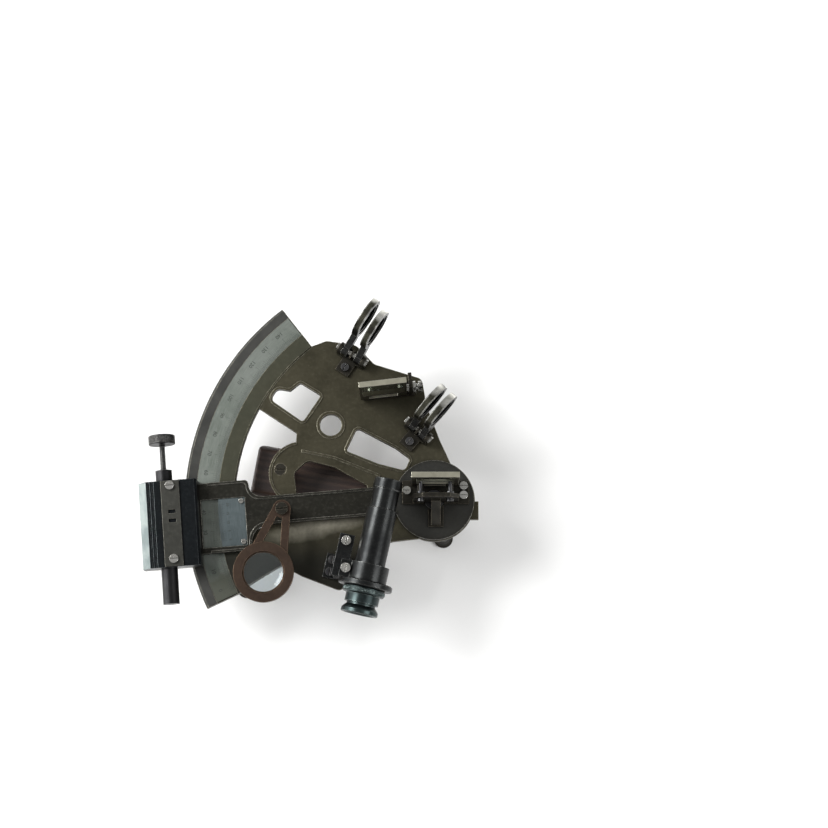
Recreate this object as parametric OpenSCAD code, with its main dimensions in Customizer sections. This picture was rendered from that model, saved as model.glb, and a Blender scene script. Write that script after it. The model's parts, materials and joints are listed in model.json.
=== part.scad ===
// Vernier sextant lying face up on its three legs.
// Plan positions are measured from the pivot, with x to the right and y away from the telescope's eye end.
// Heights are measured from the front face of the frame's webs, and every sub-part is then moved to
// the middle of the instrument's footprint by placed().

/* [Layout] */
// Height of the optical axis over the frame's face
sight_z = 30; // [29:0.5:33]

/* [Frame] */
// Outer radius of the limb
limb_r = 165; // [163:1:167]
// Radial width of the limb
limb_w = 33; // [30:1:36]
// Thickness of the limb below the face of the webs
plate_t = 5; // [4.5:0.5:7]
// Height of the limb's face over the webs
limb_rise = 1; // [0.8:0.1:1.2]
// Direction of the limb's upper end, seen from the pivot
limb_top = 128.2; // [127:0.2:129]
// Direction of the limb's lower end
limb_low = 205.6; // [205:0.2:207]
// Radius of the pivot boss
boss_r = 27; // [25:0.5:28]
// Depth of the boss on the back
boss_back = 8; // [6:0.5:9]
// Plain rim outside the scale
scale_margin = 7.7; // [7:0.1:8.4]
// Width of the scale
scale_w = 14.6; // [13:0.1:15]
// Depth of the groove that holds the scale
scale_groove = 0.7; // [0.5:0.1:1]
// Radius of the round hole in the frame
hole_r = 7.3; // [6:0.1:8]
// Height of the raised edges round the frame's openings
edge_h = 0.8; // [0.5:0.1:1]
// Width of those raised edges
edge_w = 1.6; // [1.2:0.1:2]

/* [Legs and handle] */
// Length of a leg, from the back of the frame to the floor
leg_h = 46; // [44:1:52]
// Radius of a leg's waist
leg_r = 3.4; // [3:0.1:4]
// Radius of a foot
foot_r = 6.5; // [5.5:0.1:7]
// Length of the wooden grip
grip_l = 112; // [104:1:114]
// Width of the grip
grip_w = 36; // [32:1:38]
// Thickness of the grip
grip_t = 22; // [18:1:24]
// Direction of the grip
grip_angle = -10; // [-12:1:-8]
// Finger room between the frame and the grip
finger_gap = 16; // [14:0.5:18]
// Radius of a handle post
post_r = 5; // [4.5:0.1:6]

/* [Index arm] */
// Direction of the arm's middle line in the photographed pose
arm_angle = 184.7; // [184:0.1:186]
// Thickness of the arm
arm_t = 2.6; // [2.2:0.1:3]
// Radius of the arm's round head
head_r = 26.5; // [25:0.5:27]
// Width of the arm's neck
neck_w = 18.5; // [16:0.5:20]
// How far inside the limb's outer edge the arm's wide end begins
wide_lap = 43.5; // [42:0.5:45]
// Width of the wide end
wide_w = 46.6; // [44:0.2:48]
// Width of the window along the arc
window_w = 31.8; // [28:0.2:34]
// Height of the raised edges of the neck
arm_edge_h = 1.2; // [0.8:0.1:1.6]
// Radius of the pivot shaft
shaft_r = 4; // [3.5:0.1:4.5]
// Outer radius of the pivot bush
bush_r = 6.2; // [5.8:0.1:7]

/* [Tangent box] */
// How far the box laps over the limb, from the limb's outer edge
box_lap = 10.5; // [10:0.5:11]
// Radial length of the box
box_l = 38.5; // [38:0.5:40]
// Length of the box along the arc
box_w = 56.8; // [56:0.2:60]
// How far the box's middle lies below the arm's middle line
box_offset = 3; // [2:0.5:4]
// Height of the box over the arm
box_h = 13; // [12.5:0.5:15]
// Wall of the box
box_wall = 2; // [1.6:0.1:2.4]
// Distance of the tangent screw outside the limb
screw_out = 11; // [10:0.5:12]
// Radius of the tangent screw
screw_r = 2; // [1.6:0.1:2.4]
// Thread lead of the tangent screw
screw_lead = 1; // [0.8:0.1:1.2]
// Radius of the knurled head
knob_r = 8.75; // [7.5:0.25:9.5]
// Thickness of the knurled head
knob_t = 6; // [5:0.5:8]
// Free length of the stem between collar and head
stem_l = 17.4; // [14:0.2:20]
// Outer radius of the collar and the spring barrel
barrel_r = 5.4; // [5:0.1:6]
// Length of the collar
collar_l = 7.6; // [6:0.2:9]
// Length of the spring barrel outside the box
barrel_l = 23.5; // [22:0.5:26]
// Width of the cover strip
cover_w = 12; // [10:0.5:13]
// Travel of the tangent screw each way from the middle
fine_travel = 2.5; // [1.5:0.5:2.5]

/* [Clamp] */
// Thickness of the clamp block along the arc
clamp_w = 12; // [10:0.5:13]
// Radius of the clamp screw's head
clamp_knob_r = 7; // [6:0.5:8]

/* [Mirrors] */
// Width of a mirror glass
glass_w = 27; // [25:0.5:28]
// Height of a mirror glass
glass_h = 30; // [28:0.5:31]
// Thickness of a mirror glass
glass_t = 2; // [1.5:0.1:2.4]
// Border of a mirror frame
glass_border = 2; // [1.6:0.1:2.4]
// Direction of the horizon mirror
horizon_dir = 6.5; // [5:0.5:8]
// Direction of the index mirror in the photographed pose
index_dir = 0; // [-3:0.5:3]

/* [Shades] */
// Radius of a shade rim
shade_r = 14.2; // [13:0.2:14.5]
// Thickness of a shade rim
shade_t = 4.4; // [3:0.1:4.6]
// Width of the metal of a shade rim
shade_ring = 2.4; // [2:0.1:3]
// Distance from the hinge pin to the middle of a shade
shade_reach = 26; // [25.5:0.1:27]
// Height of the hinge pins over the frame
shade_pin_z = 7; // [6.6:0.1:8]
// Radius of the hinge pins
shade_pin_r = 1.5; // [1.2:0.1:1.8]
// Distance between the two horizon shades
horizon_pitch = 10.2; // [9:0.1:11]
// Distance between the two index shades
index_pitch = 8.8; // [8.6:0.1:9.6]
// Direction in which the horizon shades are folded
horizon_fold = 57; // [55:1:59]
// Direction in which the index shades are folded
index_fold = 48.5; // [47:0.5:50]
// Height angles of the horizon shades in the photographed pose
horizon_tilts = [18, 40];
// Height angles of the index shades in the photographed pose
index_tilts = [51, 51];

/* [Telescope] */
// Direction of the telescope
scope_dir = 77.5; // [76.5:0.5:78.5]
// Outer radius of the tube
tube_r = 9.8; // [9:0.1:10.2]
// Wall of the tube
tube_wall = 1.5; // [1.2:0.1:2]
// Length of the tube in front of its ring
tube_front = 42.5; // [40:0.5:44]
// Length of the objective cell in front of the tube
cell_l = 19.5; // [18:0.5:20.5]
// Outer radius of the objective cell
cell_r = 9.3; // [8.8:0.1:9.6]
// Radius of the flange at the eye end
flange_r = 17.5; // [15:0.5:18]
// Thickness of the flange
flange_t = 4; // [3:0.2:5]
// Length of the stepped eyepiece
eyepiece_l = 10; // [9:0.5:11]
// Radius of the eyecup
eyecup_r = 12; // [11:0.5:13]
// Length of the eyecup
eyecup_l = 7; // [6.5:0.5:8]
// Wall of the collar round the tube
ring_wall = 3.1; // [2.2:0.1:3.4]
// Length of the collar along the tube
ring_l = 11; // [9:0.5:12]

/* [Magnifier] */
// Distance from the magnifier's pivot to the middle of its lens
magnifier_reach = 42.8; // [42:0.2:44]
// Outer radius of the ring
magnifier_r = 19.6; // [18:0.2:20]
// Radial width of the ring
magnifier_ring = 6; // [5:0.2:6.4]
// Thickness of the ring
magnifier_t = 4.4; // [3.6:0.2:5]
// Height of the post over the arm
magnifier_post_h = 14.5; // [14.2:0.1:16]
// Direction of the magnifier in the photographed pose
magnifier_dir = 254.6; // [253:0.2:256]

/* [Clearances] */
// Radial clearance of shafts, pins and tubes that turn or slide
run = 0.05; // [0.03:0.01:0.08]
// Gap between flat faces that pass each other
pass = 0.4; // [0.3:0.05:0.5]
// Radial clearance of screws in their holes
screw_gap = 0.1; // [0.05:0.01:0.15]

/* [Hidden] */
$fn = 64;
eps = 0.01;

// Colours
bronze = [0.30, 0.28, 0.20];
dark_bronze = [0.22, 0.21, 0.18];
blackened = [0.13, 0.14, 0.15];
gunmetal = [0.33, 0.33, 0.34];
nickel = [0.78, 0.78, 0.76];
silvered = [0.52, 0.55, 0.50];
copper = [0.42, 0.27, 0.17];
wood = [0.30, 0.19, 0.15];
clear_glass = [0.75, 0.85, 0.88, 0.4];
dark_glass = [0.20, 0.24, 0.22, 0.7];
mirror_glass = [0.70, 0.74, 0.76];

// Heights
limb_z = limb_rise;
scale_proud = 0.1;
arm_z = limb_z + pass;
arm_top = arm_z + arm_t;
box_top = arm_top + box_h;
back_z = -plate_t;
web_back = back_z + 0.6;
floor_z = back_z - leg_h;

// Limb and scale
limb_in = limb_r - limb_w;
scale_out_r = limb_r - scale_margin;
scale_in_r = scale_out_r - scale_w;

// Pivot, from the middle of the instrument's footprint
pivot_at = [82.6, -27];

// Boss and the seat of the arm on it
boss_back_r = 14;
arm_seat_r = 19;
arm_seat_gap = 0.15;

// Spigot that holds a leg in the frame
spigot_r = 2;
spigot_l = 3;

// Handle posts and their screws
collar_h = 1.5;
collar_lip = 1.6;
post_socket = 3;
grip_screw_r = 2;
grip_screw_head_r = 4;
grip_screw_in = 14.8;

// Places on the frame, from the pivot
leg_ring = limb_in + 6;
leg_places = [[leg_ring, 130.5], [leg_ring, 203], [boss_r - 6.2, 289]];
hole_at = [-68.7, 50.7];
lobe_at = [-88, 18];
lobe_r = 21.5;
post_places = [[-102, 21], [-33, 8.8]];
grip_left = [-121, 24];

// Middle of the telescope's collar
scope_at = [-42.9, -51];

// Shade hinges
horizon_pin_at = [-54.5, 97];
index_pin_at = [-10.3, 46.1];
shade_mount_back = 9;

// Small screws
small_head_r = 2.7;
small_head_h = 1.9;
small_shank_r = 1.4;

// Arm outline, and how far from the box its raised edges stop
arm_edge_stop = 6;
wide_start = limb_r - wide_lap;
box_in = limb_r - box_lap;
screw_x = limb_r + screw_out;
neck_offset = -2.25;
neck_low = neck_offset - neck_w / 2;
neck_high = neck_offset + neck_w / 2;
box_out = box_in + box_l;
box_low = box_offset - box_w / 2;
box_high = box_offset + box_w / 2;
window_low = neck_low - 0.8;
window_high = window_low + window_w;
window_out = box_in - 1;
vernier_in = wide_start + 3.1;
vernier_out = scale_in_r - 0.25;
vernier_t = 1.1;

// Tangent box inside
screw_z = arm_top + barrel_r + 0.15;
cavity_in = box_in + 3.5;
cavity_out = box_out - 6;
cavity_top = box_top - box_wall - 0.5;
clamp_low = box_offset - clamp_w / 2;
clamp_high = box_offset + clamp_w / 2;
clamp_post_in = limb_r + 1.8;
clamp_post_l = 15;
pad_r = 3;
pad_l = 3;
tip_gap = 0.12;
plunger_r = 2.5;
plunger_head_r = barrel_r - 1.1;
plunger_head_t = 2;

// Magnifier pivot on the arm, along and across it
magnifier_at = [wide_start - 21.9, -0.2];
magnifier_z = arm_top + magnifier_post_h;

// Corner arcs of an outline whose points are [x, y, corner radius]
arc_steps = 6;
function unit(v) = v / norm(v);
function corner(a, b, c) =
    let (
        p = [b.x, b.y],
        u = unit([a.x, a.y] - p),
        v = unit([c.x, c.y] - p),
        half = acos(u * v) / 2,
        centre = p + unit(u + v) * b[2] / sin(half),
        first = p + u * b[2] / tan(half) - centre,
        last = p + v * b[2] / tan(half) - centre,
        start = atan2(first.y, first.x),
        turn = atan2(first.x * last.y - first.y * last.x, first * last)
    )
    [for (i = [0:arc_steps]) centre + b[2] * [cos(start + turn * i / arc_steps),
                                              sin(start + turn * i / arc_steps)]];
function rounded(points) = [
    for (i = [0:len(points) - 1])
        let (
            a = points[(i + len(points) - 1) % len(points)],
            b = points[i],
            c = points[(i + 1) % len(points)]
        )
        each (len(b) < 3 || b[2] <= 0 ? [[b.x, b.y]] : corner(a, b, c))];
// The same outline moved outwards by d, for points that run anticlockwise
function grown(points, d) = [
    for (i = [0:len(points) - 1])
        let (
            a = points[(i + len(points) - 1) % len(points)],
            b = points[i],
            c = points[(i + 1) % len(points)],
            e = unit([b.x - a.x, b.y - a.y]),
            f = unit([c.x - b.x, c.y - b.y]),
            n = [e.y, -e.x],
            m = [f.y, -f.x]
        )
        [b.x + (n.x + m.x) * d / (1 + n * m), b.y + (n.y + m.y) * d / (1 + n * m),
         max(0, b[2] + d)]];
function polar(r, a) = [r * cos(a), r * sin(a)];

module placed() translate([pivot_at.x, pivot_at.y, plate_t + leg_h]) children();
module on_arm() placed() rotate(arm_angle) children();

// A flat piece of a ring between two directions
module ring_piece(inner, outer, from, to, height) {
    rotate(from) rotate_extrude(angle = to - from, $fn = 360)
        translate([inner, 0]) square([outer - inner, height]);
}

// A slotted cheese-head screw whose head sits on z = 0
module screw(head_r, head_h, shank_r, shank_l) {
    slot_w = 0.3 * head_r;
    difference() {
        cylinder(r = head_r, h = head_h);
        translate([-head_r - 1, -slot_w / 2, head_h * 0.5]) cube([2 * head_r + 2, slot_w, head_h]);
    }
    translate([0, 0, -shank_l]) cylinder(r = shank_r, h = shank_l + eps);
}

// A double convex lens with a flat rim of a given thickness, standing on z = 0
module lens(r, rim_t, crown) {
    steps = 8;
    flat_rim = 1;
    rotate_extrude($fn = 96) polygon(concat(
        [for (i = [0:steps]) let (t = i / steps) [(r - flat_rim) * t, rim_t + crown * (1 - t * t)]],
        [[r, rim_t], [r, 0]],
        [for (i = [steps:-1:0]) let (t = i / steps) [(r - flat_rim) * t, -crown * (1 - t * t)]]));
}

// Openings of the frame, each anticlockwise as [x, y, corner radius]
gap_upper = [[-87.3, 52.7, 2], [-75.3, 70.7, 2], [-89.3, 79.3, 2], [-96, 73.8, 1.5],
             [-104.8, 75.3, 4], [-109.3, 68, 4]];
gap_window = [[-19.3, 20, 3], [-16, 28, 2.5], [-26, 35.3, 3], [-51.3, 48.7, 2.5],
              [-58.5, 33.3, 2], [-37.3, 24.7, 3]];
gap_handle = [[-90, -4, 4], [-44, -2, 4], [-44, 10, 3], [-66, 22.5, 3], [-84, 27, 5], [-93, 19, 4]];
function lobe_edge(grow) = [for (a = [100:12:232]) lobe_at + polar(lobe_r + grow, a)];
gap_limb = concat(
    [[-91.3, 45.3], polar(limb_in + 1, 152)],
    [for (a = [157:5:187]) polar(limb_in + 1, a)],
    [polar(limb_in + 1, 192), [-104, -12]],
    [for (i = [11:-1:0]) lobe_edge(0)[i]]);
web_end = 1.2;
web_outline = [
    [0, -boss_r + 3, 0], [-30, -27.5, 8], [-48, -48, 6], [-62, -59.5, 4], [-87, -50, 8],
    [-101, -42.5, 9], polar(limb_in + 1.5, limb_low - web_end), polar(limb_r, limb_low - 6),
    polar(limb_r, 183), polar(limb_r, 158), polar(limb_r, limb_top + 6),
    polar(limb_in + 1.5, limb_top + web_end), [-72, 108, 6], [-52, 105, 8], [-40, 92, 6], [-8, 82, 5],
    [-5, 64, 8], [4, 40, 10], [16, 14, 0]];

module web_plan() {
    difference() {
        union() {
            intersection() {
                polygon(rounded([for (i = [len(web_outline) - 1:-1:0]) web_outline[i]]));
                circle(r = limb_in + 2, $fn = 360);
            }
            circle(r = boss_r, $fn = 128);
            // Ear at the right of the boss
            translate([17, -12.5]) square([12.3, 12]);
        }
        polygon(rounded(gap_upper));
        polygon(rounded(gap_window));
        polygon(rounded(gap_handle));
        polygon(gap_limb);
        translate(hole_at) circle(r = hole_r);
    }
}

module raised_edge(points) {
    linear_extrude(edge_h) difference() {
        polygon(rounded(grown(points, edge_w)));
        polygon(rounded(points));
    }
}

module bar(from, to, width, height) {
    run_v = to - from;
    translate(from) rotate(atan2(run_v.y, run_v.x))
        translate([0, -width / 2]) cube([norm(run_v), width, height]);
}

module frame() color(bronze) placed() difference() {
    union() {
        translate([0, 0, web_back]) linear_extrude(-web_back) web_plan();
        limb();
        translate([0, 0, back_z - boss_back]) cylinder(r = boss_back_r, h = boss_back + 1);
        // Seats of the posts and of the leg at the pivot
        for (place = post_places) translate([place.x, place.y, back_z])
            cylinder(r = post_r + 1.7, h = 1);
        translate([0, 0, back_z]) translate(polar(leg_places[2][0], leg_places[2][1]))
            cylinder(r = leg_r + 2.6, h = 1);
        cylinder(r = arm_seat_r, h = arm_z - arm_seat_gap);
        raised_edge(gap_upper);
        raised_edge(gap_window);
        translate(hole_at) linear_extrude(edge_h) difference() {
            circle(r = hole_r + 2);
            circle(r = hole_r);
        }
        // Raised edge of the lobe
        linear_extrude(edge_h) polygon(concat(
            lobe_edge(0), [for (i = [11:-1:0]) lobe_edge(-edge_w)[i]]));
        // Ridge over the handle's opening
        bar([-88, 33.3], [-66, 28.7], 1.6, edge_h);
        bar([-66, 28.7], [-36, 16.7], 1.6, edge_h);
    }
    // Bore of the bush
    translate([0, 0, back_z - boss_back - 1]) cylinder(r = bush_r, h = boss_back + plate_t + 4);
    // Blind holes of the legs
    for (place = leg_places)
        translate(polar(place[0], place[1])) translate([0, 0, back_z - 1])
            cylinder(r = spigot_r + screw_gap, h = spigot_l + 1.2);
    // Countersunk holes of the handle screws
    for (place = post_places) translate(place) {
        translate([0, 0, back_z - 1]) cylinder(r = grip_screw_r + screw_gap, h = plate_t + 2);
        translate([0, 0, -2])
            cylinder(r1 = grip_screw_r + screw_gap, r2 = grip_screw_head_r + screw_gap, h = 2 + eps);
    }
    scope_screw_places() translate([0, 0, -3.6]) cylinder(r = small_shank_r + screw_gap, h = 5);
    horizon_screw_places() translate([0, 0, back_z - 1])
        cylinder(r = small_shank_r + screw_gap, h = plate_t + 2);
    shade_screw_places() translate([0, 0, -4]) cylinder(r = small_shank_r + screw_gap, h = 5);
}

module limb() {
    bevel = 1.4;
    profile = [
        [limb_in, back_z], [limb_r, back_z], [limb_r, limb_z - bevel], [limb_r - bevel, limb_z],
        [scale_out_r, limb_z], [scale_out_r, limb_z - scale_groove],
        [scale_in_r, limb_z - scale_groove], [scale_in_r, limb_z], [limb_in + 0.8, limb_z],
        [limb_in, limb_z - 0.8]];
    rotate(limb_top) rotate_extrude(angle = limb_low - limb_top, $fn = 360) polygon(profile);
}

module arc_scale() color(silvered) placed()
    translate([0, 0, limb_z - scale_groove])
        ring_piece(scale_in_r + run, scale_out_r - run, limb_top + 0.3, limb_low - 0.3,
                   scale_groove + scale_proud);

module leg(place) color(dark_bronze) placed() translate(polar(place[0], place[1])) {
    translate([0, 0, floor_z]) rotate_extrude() polygon([
        [0, 0], [foot_r - 1, 0], [foot_r, 1], [foot_r, 3], [foot_r - 1, 4.2], [leg_r + 1.2, 6],
        [leg_r, 10], [leg_r, leg_h - 12], [leg_r + 0.8, leg_h - 7], [leg_r + 2.2, leg_h - 4],
        [leg_r + 2.2, leg_h], [0, leg_h]]);
    translate([0, 0, back_z - eps]) cylinder(r = spigot_r, h = spigot_l);
}
module leg_upper() leg(leg_places[0]);
module leg_lower() leg(leg_places[1]);
module leg_pivot() leg(leg_places[2]);

module handle_grip() color(wood) placed() difference() {
    translate([grip_left.x, grip_left.y, back_z - finger_gap - grip_t / 2]) rotate(grip_angle)
        intersection() {
            // Plan with rounded ends
            translate([0, 0, -grip_t]) linear_extrude(2 * grip_t) polygon(rounded([
                [0, -grip_w / 2, 5], [grip_l, -grip_w / 2, 5], [grip_l, grip_w / 2, 5],
                [0, grip_w / 2, 5]]));
            // Cross-section with rounded edges
            translate([-1, 0, 0]) rotate([90, 0, 90]) linear_extrude(grip_l + 2) polygon(rounded([
                [-grip_w / 2, -grip_t / 2, 6], [grip_w / 2, -grip_t / 2, 6],
                [grip_w / 2, grip_t / 2, 6], [-grip_w / 2, grip_t / 2, 6]]));
            // Side view with rounded ends
            translate([0, grip_w, 0]) rotate([90, 0, 0]) linear_extrude(2 * grip_w) polygon(rounded([
                [0, -grip_t / 2, 3.5], [grip_l, -grip_t / 2, 3.5], [grip_l, grip_t / 2, 3.5],
                [0, grip_t / 2, 3.5]]));
        }
    for (place = post_places) translate(place) {
        translate([0, 0, back_z - finger_gap - grip_screw_in - 0.2])
            cylinder(r = grip_screw_r + run, h = grip_screw_in + 5.2);
        translate([0, 0, back_z - finger_gap - post_socket])
            cylinder(r = post_r + run, h = post_socket + 2);
    }
}

module handle_posts() color(dark_bronze) placed() for (place = post_places) translate(place)
    translate([0, 0, back_z - finger_gap - post_socket]) difference() {
        union() {
            cylinder(r = post_r, h = finger_gap + post_socket);
            for (z = [post_socket, finger_gap + post_socket - collar_h]) translate([0, 0, z])
                cylinder(r = post_r + collar_lip, h = collar_h);
        }
        translate([0, 0, -1]) cylinder(r = grip_screw_r + run, h = finger_gap + post_socket + 3);
    }

module handle_screws() color(dark_bronze) placed() for (place = post_places) translate(place) {
    difference() {
        translate([0, 0, -2]) cylinder(r1 = grip_screw_r, r2 = grip_screw_head_r, h = 2);
        translate([-grip_screw_head_r - 1, -0.5, -0.8]) cube([2 * grip_screw_head_r + 2, 1, 2]);
    }
    translate([0, 0, back_z - finger_gap - grip_screw_in])
        cylinder(r = grip_screw_r, h = plate_t + finger_gap + grip_screw_in - 2 + eps);
}

module pivot_bush() color(copper) placed()
    translate([0, 0, back_z - boss_back]) difference() {
        cylinder(r = bush_r - 0.02, h = boss_back + plate_t + arm_z - arm_seat_gap);
        translate([0, 0, -1]) cylinder(r = shaft_r + run, h = boss_back + plate_t + 6);
    }

// Screws that hold the telescope bracket from the front and the horizon mirror from the back
module scope_screw_plan() for (x = [bracket_near + 4, bracket_far - 4])
    translate([x, bracket_foot_y + 12]) children();
module scope_screw_places() on_scope_plan() scope_screw_plan() children();
module horizon_screw_plan() for (x = [-8, 8]) translate([x, horizon_base_y + 5]) children();
module horizon_screw_places() on_horizon() horizon_screw_plan() children();
module frame_screws() color(gunmetal) placed() {
    scope_screw_places() translate([0, 0, bracket_foot_t])
        screw(small_head_r, small_head_h, small_shank_r, bracket_foot_t + 3.4);
    horizon_screw_places() translate([0, 0, web_back]) rotate([180, 0, 0])
        screw(small_head_r, small_head_h, small_shank_r, mirror_base_t - web_back - 0.6);
}

// Telescope: x runs along the tube towards the objective, y to its left, from the collar's middle
module on_scope_plan() translate(scope_at) rotate(scope_dir) children();
module along_scope(s) placed() on_scope_plan() translate([s, 0, sight_z]) rotate([0, 90, 0]) children();
collar_in = ring_l / 2;
tongue_z = sight_z - 8;
tongue_t = 3;
tongue_w = 9.6;
tongue_tip = 22.5;
collar_screw_at = [18.3, 18.5];
collar_screw_r = 1.5;
cheek_at = 14.4;
cheek_w = 9;
cheek_z = sight_z + 6.6;
bracket_near = -6;
bracket_far = 10;
bracket_foot_t = 2.2;
bracket_foot_y = 14;
bracket_y = 15;
bracket_t = 7;

module telescope_bracket() color(blackened) placed() on_scope_plan() difference() {
    union() {
        // Foot on the frame
        translate([bracket_near, bracket_foot_y, 0])
            cube([bracket_far - bracket_near, bracket_far - bracket_near, bracket_foot_t]);
        // Upright that carries the collar's tongue
        translate([0, bracket_y + bracket_t, 0]) rotate([90, 0, 0]) linear_extrude(bracket_t) polygon([
            [bracket_near, 0], [bracket_far, 0], [bracket_far, 7], [tongue_tip, 18],
            [tongue_tip, tongue_z], [bracket_near, tongue_z]]);
    }
    scope_screw_plan() translate([0, 0, -1])
        cylinder(r = small_shank_r + screw_gap, h = bracket_foot_t + 2);
    translate([collar_screw_at.x, collar_screw_at.y, tongue_z - 6.5])
        cylinder(r = collar_screw_r + run, h = 10);
}

module telescope_collar() color(blackened) difference() {
    union() {
        along_scope(-collar_in) cylinder(r = tube_r + run + ring_wall, h = ring_l, $fn = 96);
        placed() on_scope_plan() {
            // Tongue on the upright
            translate([-collar_in, 13.6, tongue_z])
                cube([collar_in + tongue_tip, tongue_w, tongue_t]);
            // Cheek beside the tube
            translate([-collar_in, cheek_w, tongue_z]) cube([ring_l, cheek_w, cheek_z - tongue_z]);
        }
    }
    along_scope(-ring_l) cylinder(r = tube_r + run, h = 2 * ring_l, $fn = 96);
    placed() on_scope_plan() {
        translate([collar_screw_at.x, collar_screw_at.y, tongue_z - 1])
            cylinder(r = collar_screw_r + screw_gap, h = 6);
        translate([0, cheek_at, sight_z - 5]) cylinder(r = collar_screw_r + run, h = 14);
    }
}

// Screw of the tongue and screw that tightens the collar
module collar_screws() color(nickel) placed() on_scope_plan() {
    translate([collar_screw_at.x, collar_screw_at.y, tongue_z + tongue_t])
        screw(3.1, 2, collar_screw_r, 9);
    translate([0, cheek_at, cheek_z]) screw(3.1, 2, collar_screw_r, 11.2);
}

flange_s = ring_l / 2 + 0.02;
module telescope_tube() color(blackened) along_scope(0) rotate_extrude($fn = 96) {
    bore = tube_r - tube_wall;
    polygon([
        [bore, -flange_s - flange_t], [flange_r - 0.6, -flange_s - flange_t],
        [flange_r, -flange_s - flange_t + 0.6], [flange_r, -flange_s - 0.8],
        [flange_r - 1, -flange_s], [tube_r, -flange_s], [tube_r, tube_front - 0.5],
        [tube_r - 0.5, tube_front], [bore, tube_front]]);
}

module objective_cell() color(blackened) along_scope(0) rotate_extrude($fn = 96) {
    bore = tube_r - tube_wall - run;
    inner = cell_r - 1.9;
    end = tube_front + cell_l;
    polygon([
        [inner, tube_front - 5], [bore, tube_front - 5], [bore, tube_front + 0.1],
        [cell_r - 0.7, tube_front + 0.1], [cell_r - 0.7, end - 6.8], [cell_r, end - 6.4],
        [cell_r, end - 0.5], [cell_r - 0.5, end], [inner - 0.8, end], [inner - 0.8, end - 1.2],
        [inner, end - 1.2]]);
}

module objective_lens() color(clear_glass) along_scope(tube_front + cell_l - 1.2 - 2 - 1.5)
    lens(cell_r - 1.9 - run, 2, 1.4);

eye_bore_r = 6;
eye_rim_r = 13.5;
eye_step_r = 11;
eye_top = -flange_s - flange_t - 0.15;
module eyepiece_tube() color(blackened) along_scope(0) rotate_extrude($fn = 96) {
    outer = tube_r - tube_wall - run;
    polygon([
        [outer - 1.2, 4], [outer, 4], [outer, eye_top], [eye_rim_r - 0.3, eye_top],
        [eye_rim_r, eye_top - 0.5], [eye_rim_r, eye_top - 3.6], [eye_rim_r - 0.5, eye_top - 4.2],
        [eye_step_r, eye_top - 4.6], [eye_step_r, eye_top - eyepiece_l],
        [eye_bore_r, eye_top - eyepiece_l], [eye_bore_r, eye_top - 3], [outer - 1.2, eye_top - 2]]);
}

eyecup_top = eye_top - eyepiece_l;
eyecup_neck_r = 9.4;
module eyecup() color(dark_bronze) along_scope(0) rotate_extrude($fn = 96) polygon([
    [eye_bore_r, eyecup_top], [eyecup_neck_r, eyecup_top], [eyecup_neck_r, eyecup_top - 1.5],
    [eyecup_r - 0.6, eyecup_top - 3.5], [eyecup_r, eyecup_top - 4.5],
    [eyecup_r, eyecup_top - eyecup_l + 0.5], [eyecup_r - 0.5, eyecup_top - eyecup_l],
    [eyecup_r - 1.6, eyecup_top - eyecup_l], [eye_bore_r, eyecup_top - 3.6]]);

module eye_lens() color(clear_glass) along_scope(eyecup_top + 0.4) lens(eye_bore_r - run, 1.6, 0.9);

// Horizon mirror: x runs along the mirror, y away from the telescope
horizon_at = [-31.3, 72.7];
mirror_frame_w = glass_w + 2 * glass_border;
mirror_frame_h = glass_h + 2 * glass_border;
mirror_frame_t = glass_t + 1.6;
mirror_base_t = 2.6;
mirror_z = sight_z - mirror_frame_h / 2;
module on_horizon() translate(horizon_at) rotate(horizon_dir) children();

module mirror_frame(left, low_z) {
    difference() {
        translate([left, -mirror_frame_t, low_z])
            cube([mirror_frame_w, mirror_frame_t, mirror_z + mirror_frame_h - low_z]);
        // Seat of the glass, open to the front
        translate([left + glass_border - run, -mirror_frame_t - 1, mirror_z + glass_border - run])
            cube([glass_w + 2 * run, glass_t + 1 + run, glass_h + 2 * run]);
        // Light opening behind the glass
        translate([left + glass_border + 1.5, -mirror_frame_t, mirror_z + glass_border + 1.5])
            cube([glass_w - 3, mirror_frame_t + 1, glass_h - 3]);
        // Lightening of the skirt
        translate([left + 6, -mirror_frame_t - 1, low_z + 2])
            cube([mirror_frame_w - 12, mirror_frame_t + 2, mirror_z - low_z - 3]);
    }
}

horizon_base_l = 34;
horizon_base_w = 9.8;
horizon_base_y = -3.6;
upright_t = 2;
upright_h = 18;
ear_t = 2.4;
ear_h = 29;
adjuster_r = 1.2;
adjuster_y = -1.8;
adjuster_heights = [12, 24];
horizon_right = 13;
horizon_left = horizon_right - mirror_frame_w;
horizon_upright_y = 4;
module horizon_mirror_bracket() color(dark_bronze) placed() on_horizon() difference() {
    union() {
        translate([horizon_right + 5 - horizon_base_l, horizon_base_y, 0])
            cube([horizon_base_l, horizon_base_w, mirror_base_t]);
        // Back upright
        translate([-14, horizon_upright_y, 0]) cube([horizon_right + 14, upright_t, upright_h]);
        // Ear that carries the adjusting screws
        translate([horizon_right + 1.6, horizon_base_y, 0]) cube([ear_t, horizon_base_w, ear_h]);
    }
    horizon_screw_plan() translate([0, 0, -1])
        cylinder(r = small_shank_r + screw_gap, h = mirror_base_t + 0.5);
    for (z = adjuster_heights) translate([horizon_right - 3, adjuster_y, z]) rotate([0, 90, 0])
        cylinder(r = adjuster_r + run, h = 12);
}

module horizon_mirror_frame() color(bronze) placed() on_horizon() {
    mirror_frame(horizon_left, mirror_base_t);
    // Feet that reach back to the upright
    for (x = [-11, 9]) translate([x, -eps, mirror_z - 1]) rotate([-90, 0, 0])
        cylinder(r = 2.2, h = horizon_upright_y + eps);
}

module horizon_mirror_glass() color(mirror_glass) placed() on_horizon()
    translate([horizon_left + glass_border, -mirror_frame_t, mirror_z + glass_border])
        cube([glass_w, glass_t, glass_h]);

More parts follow.
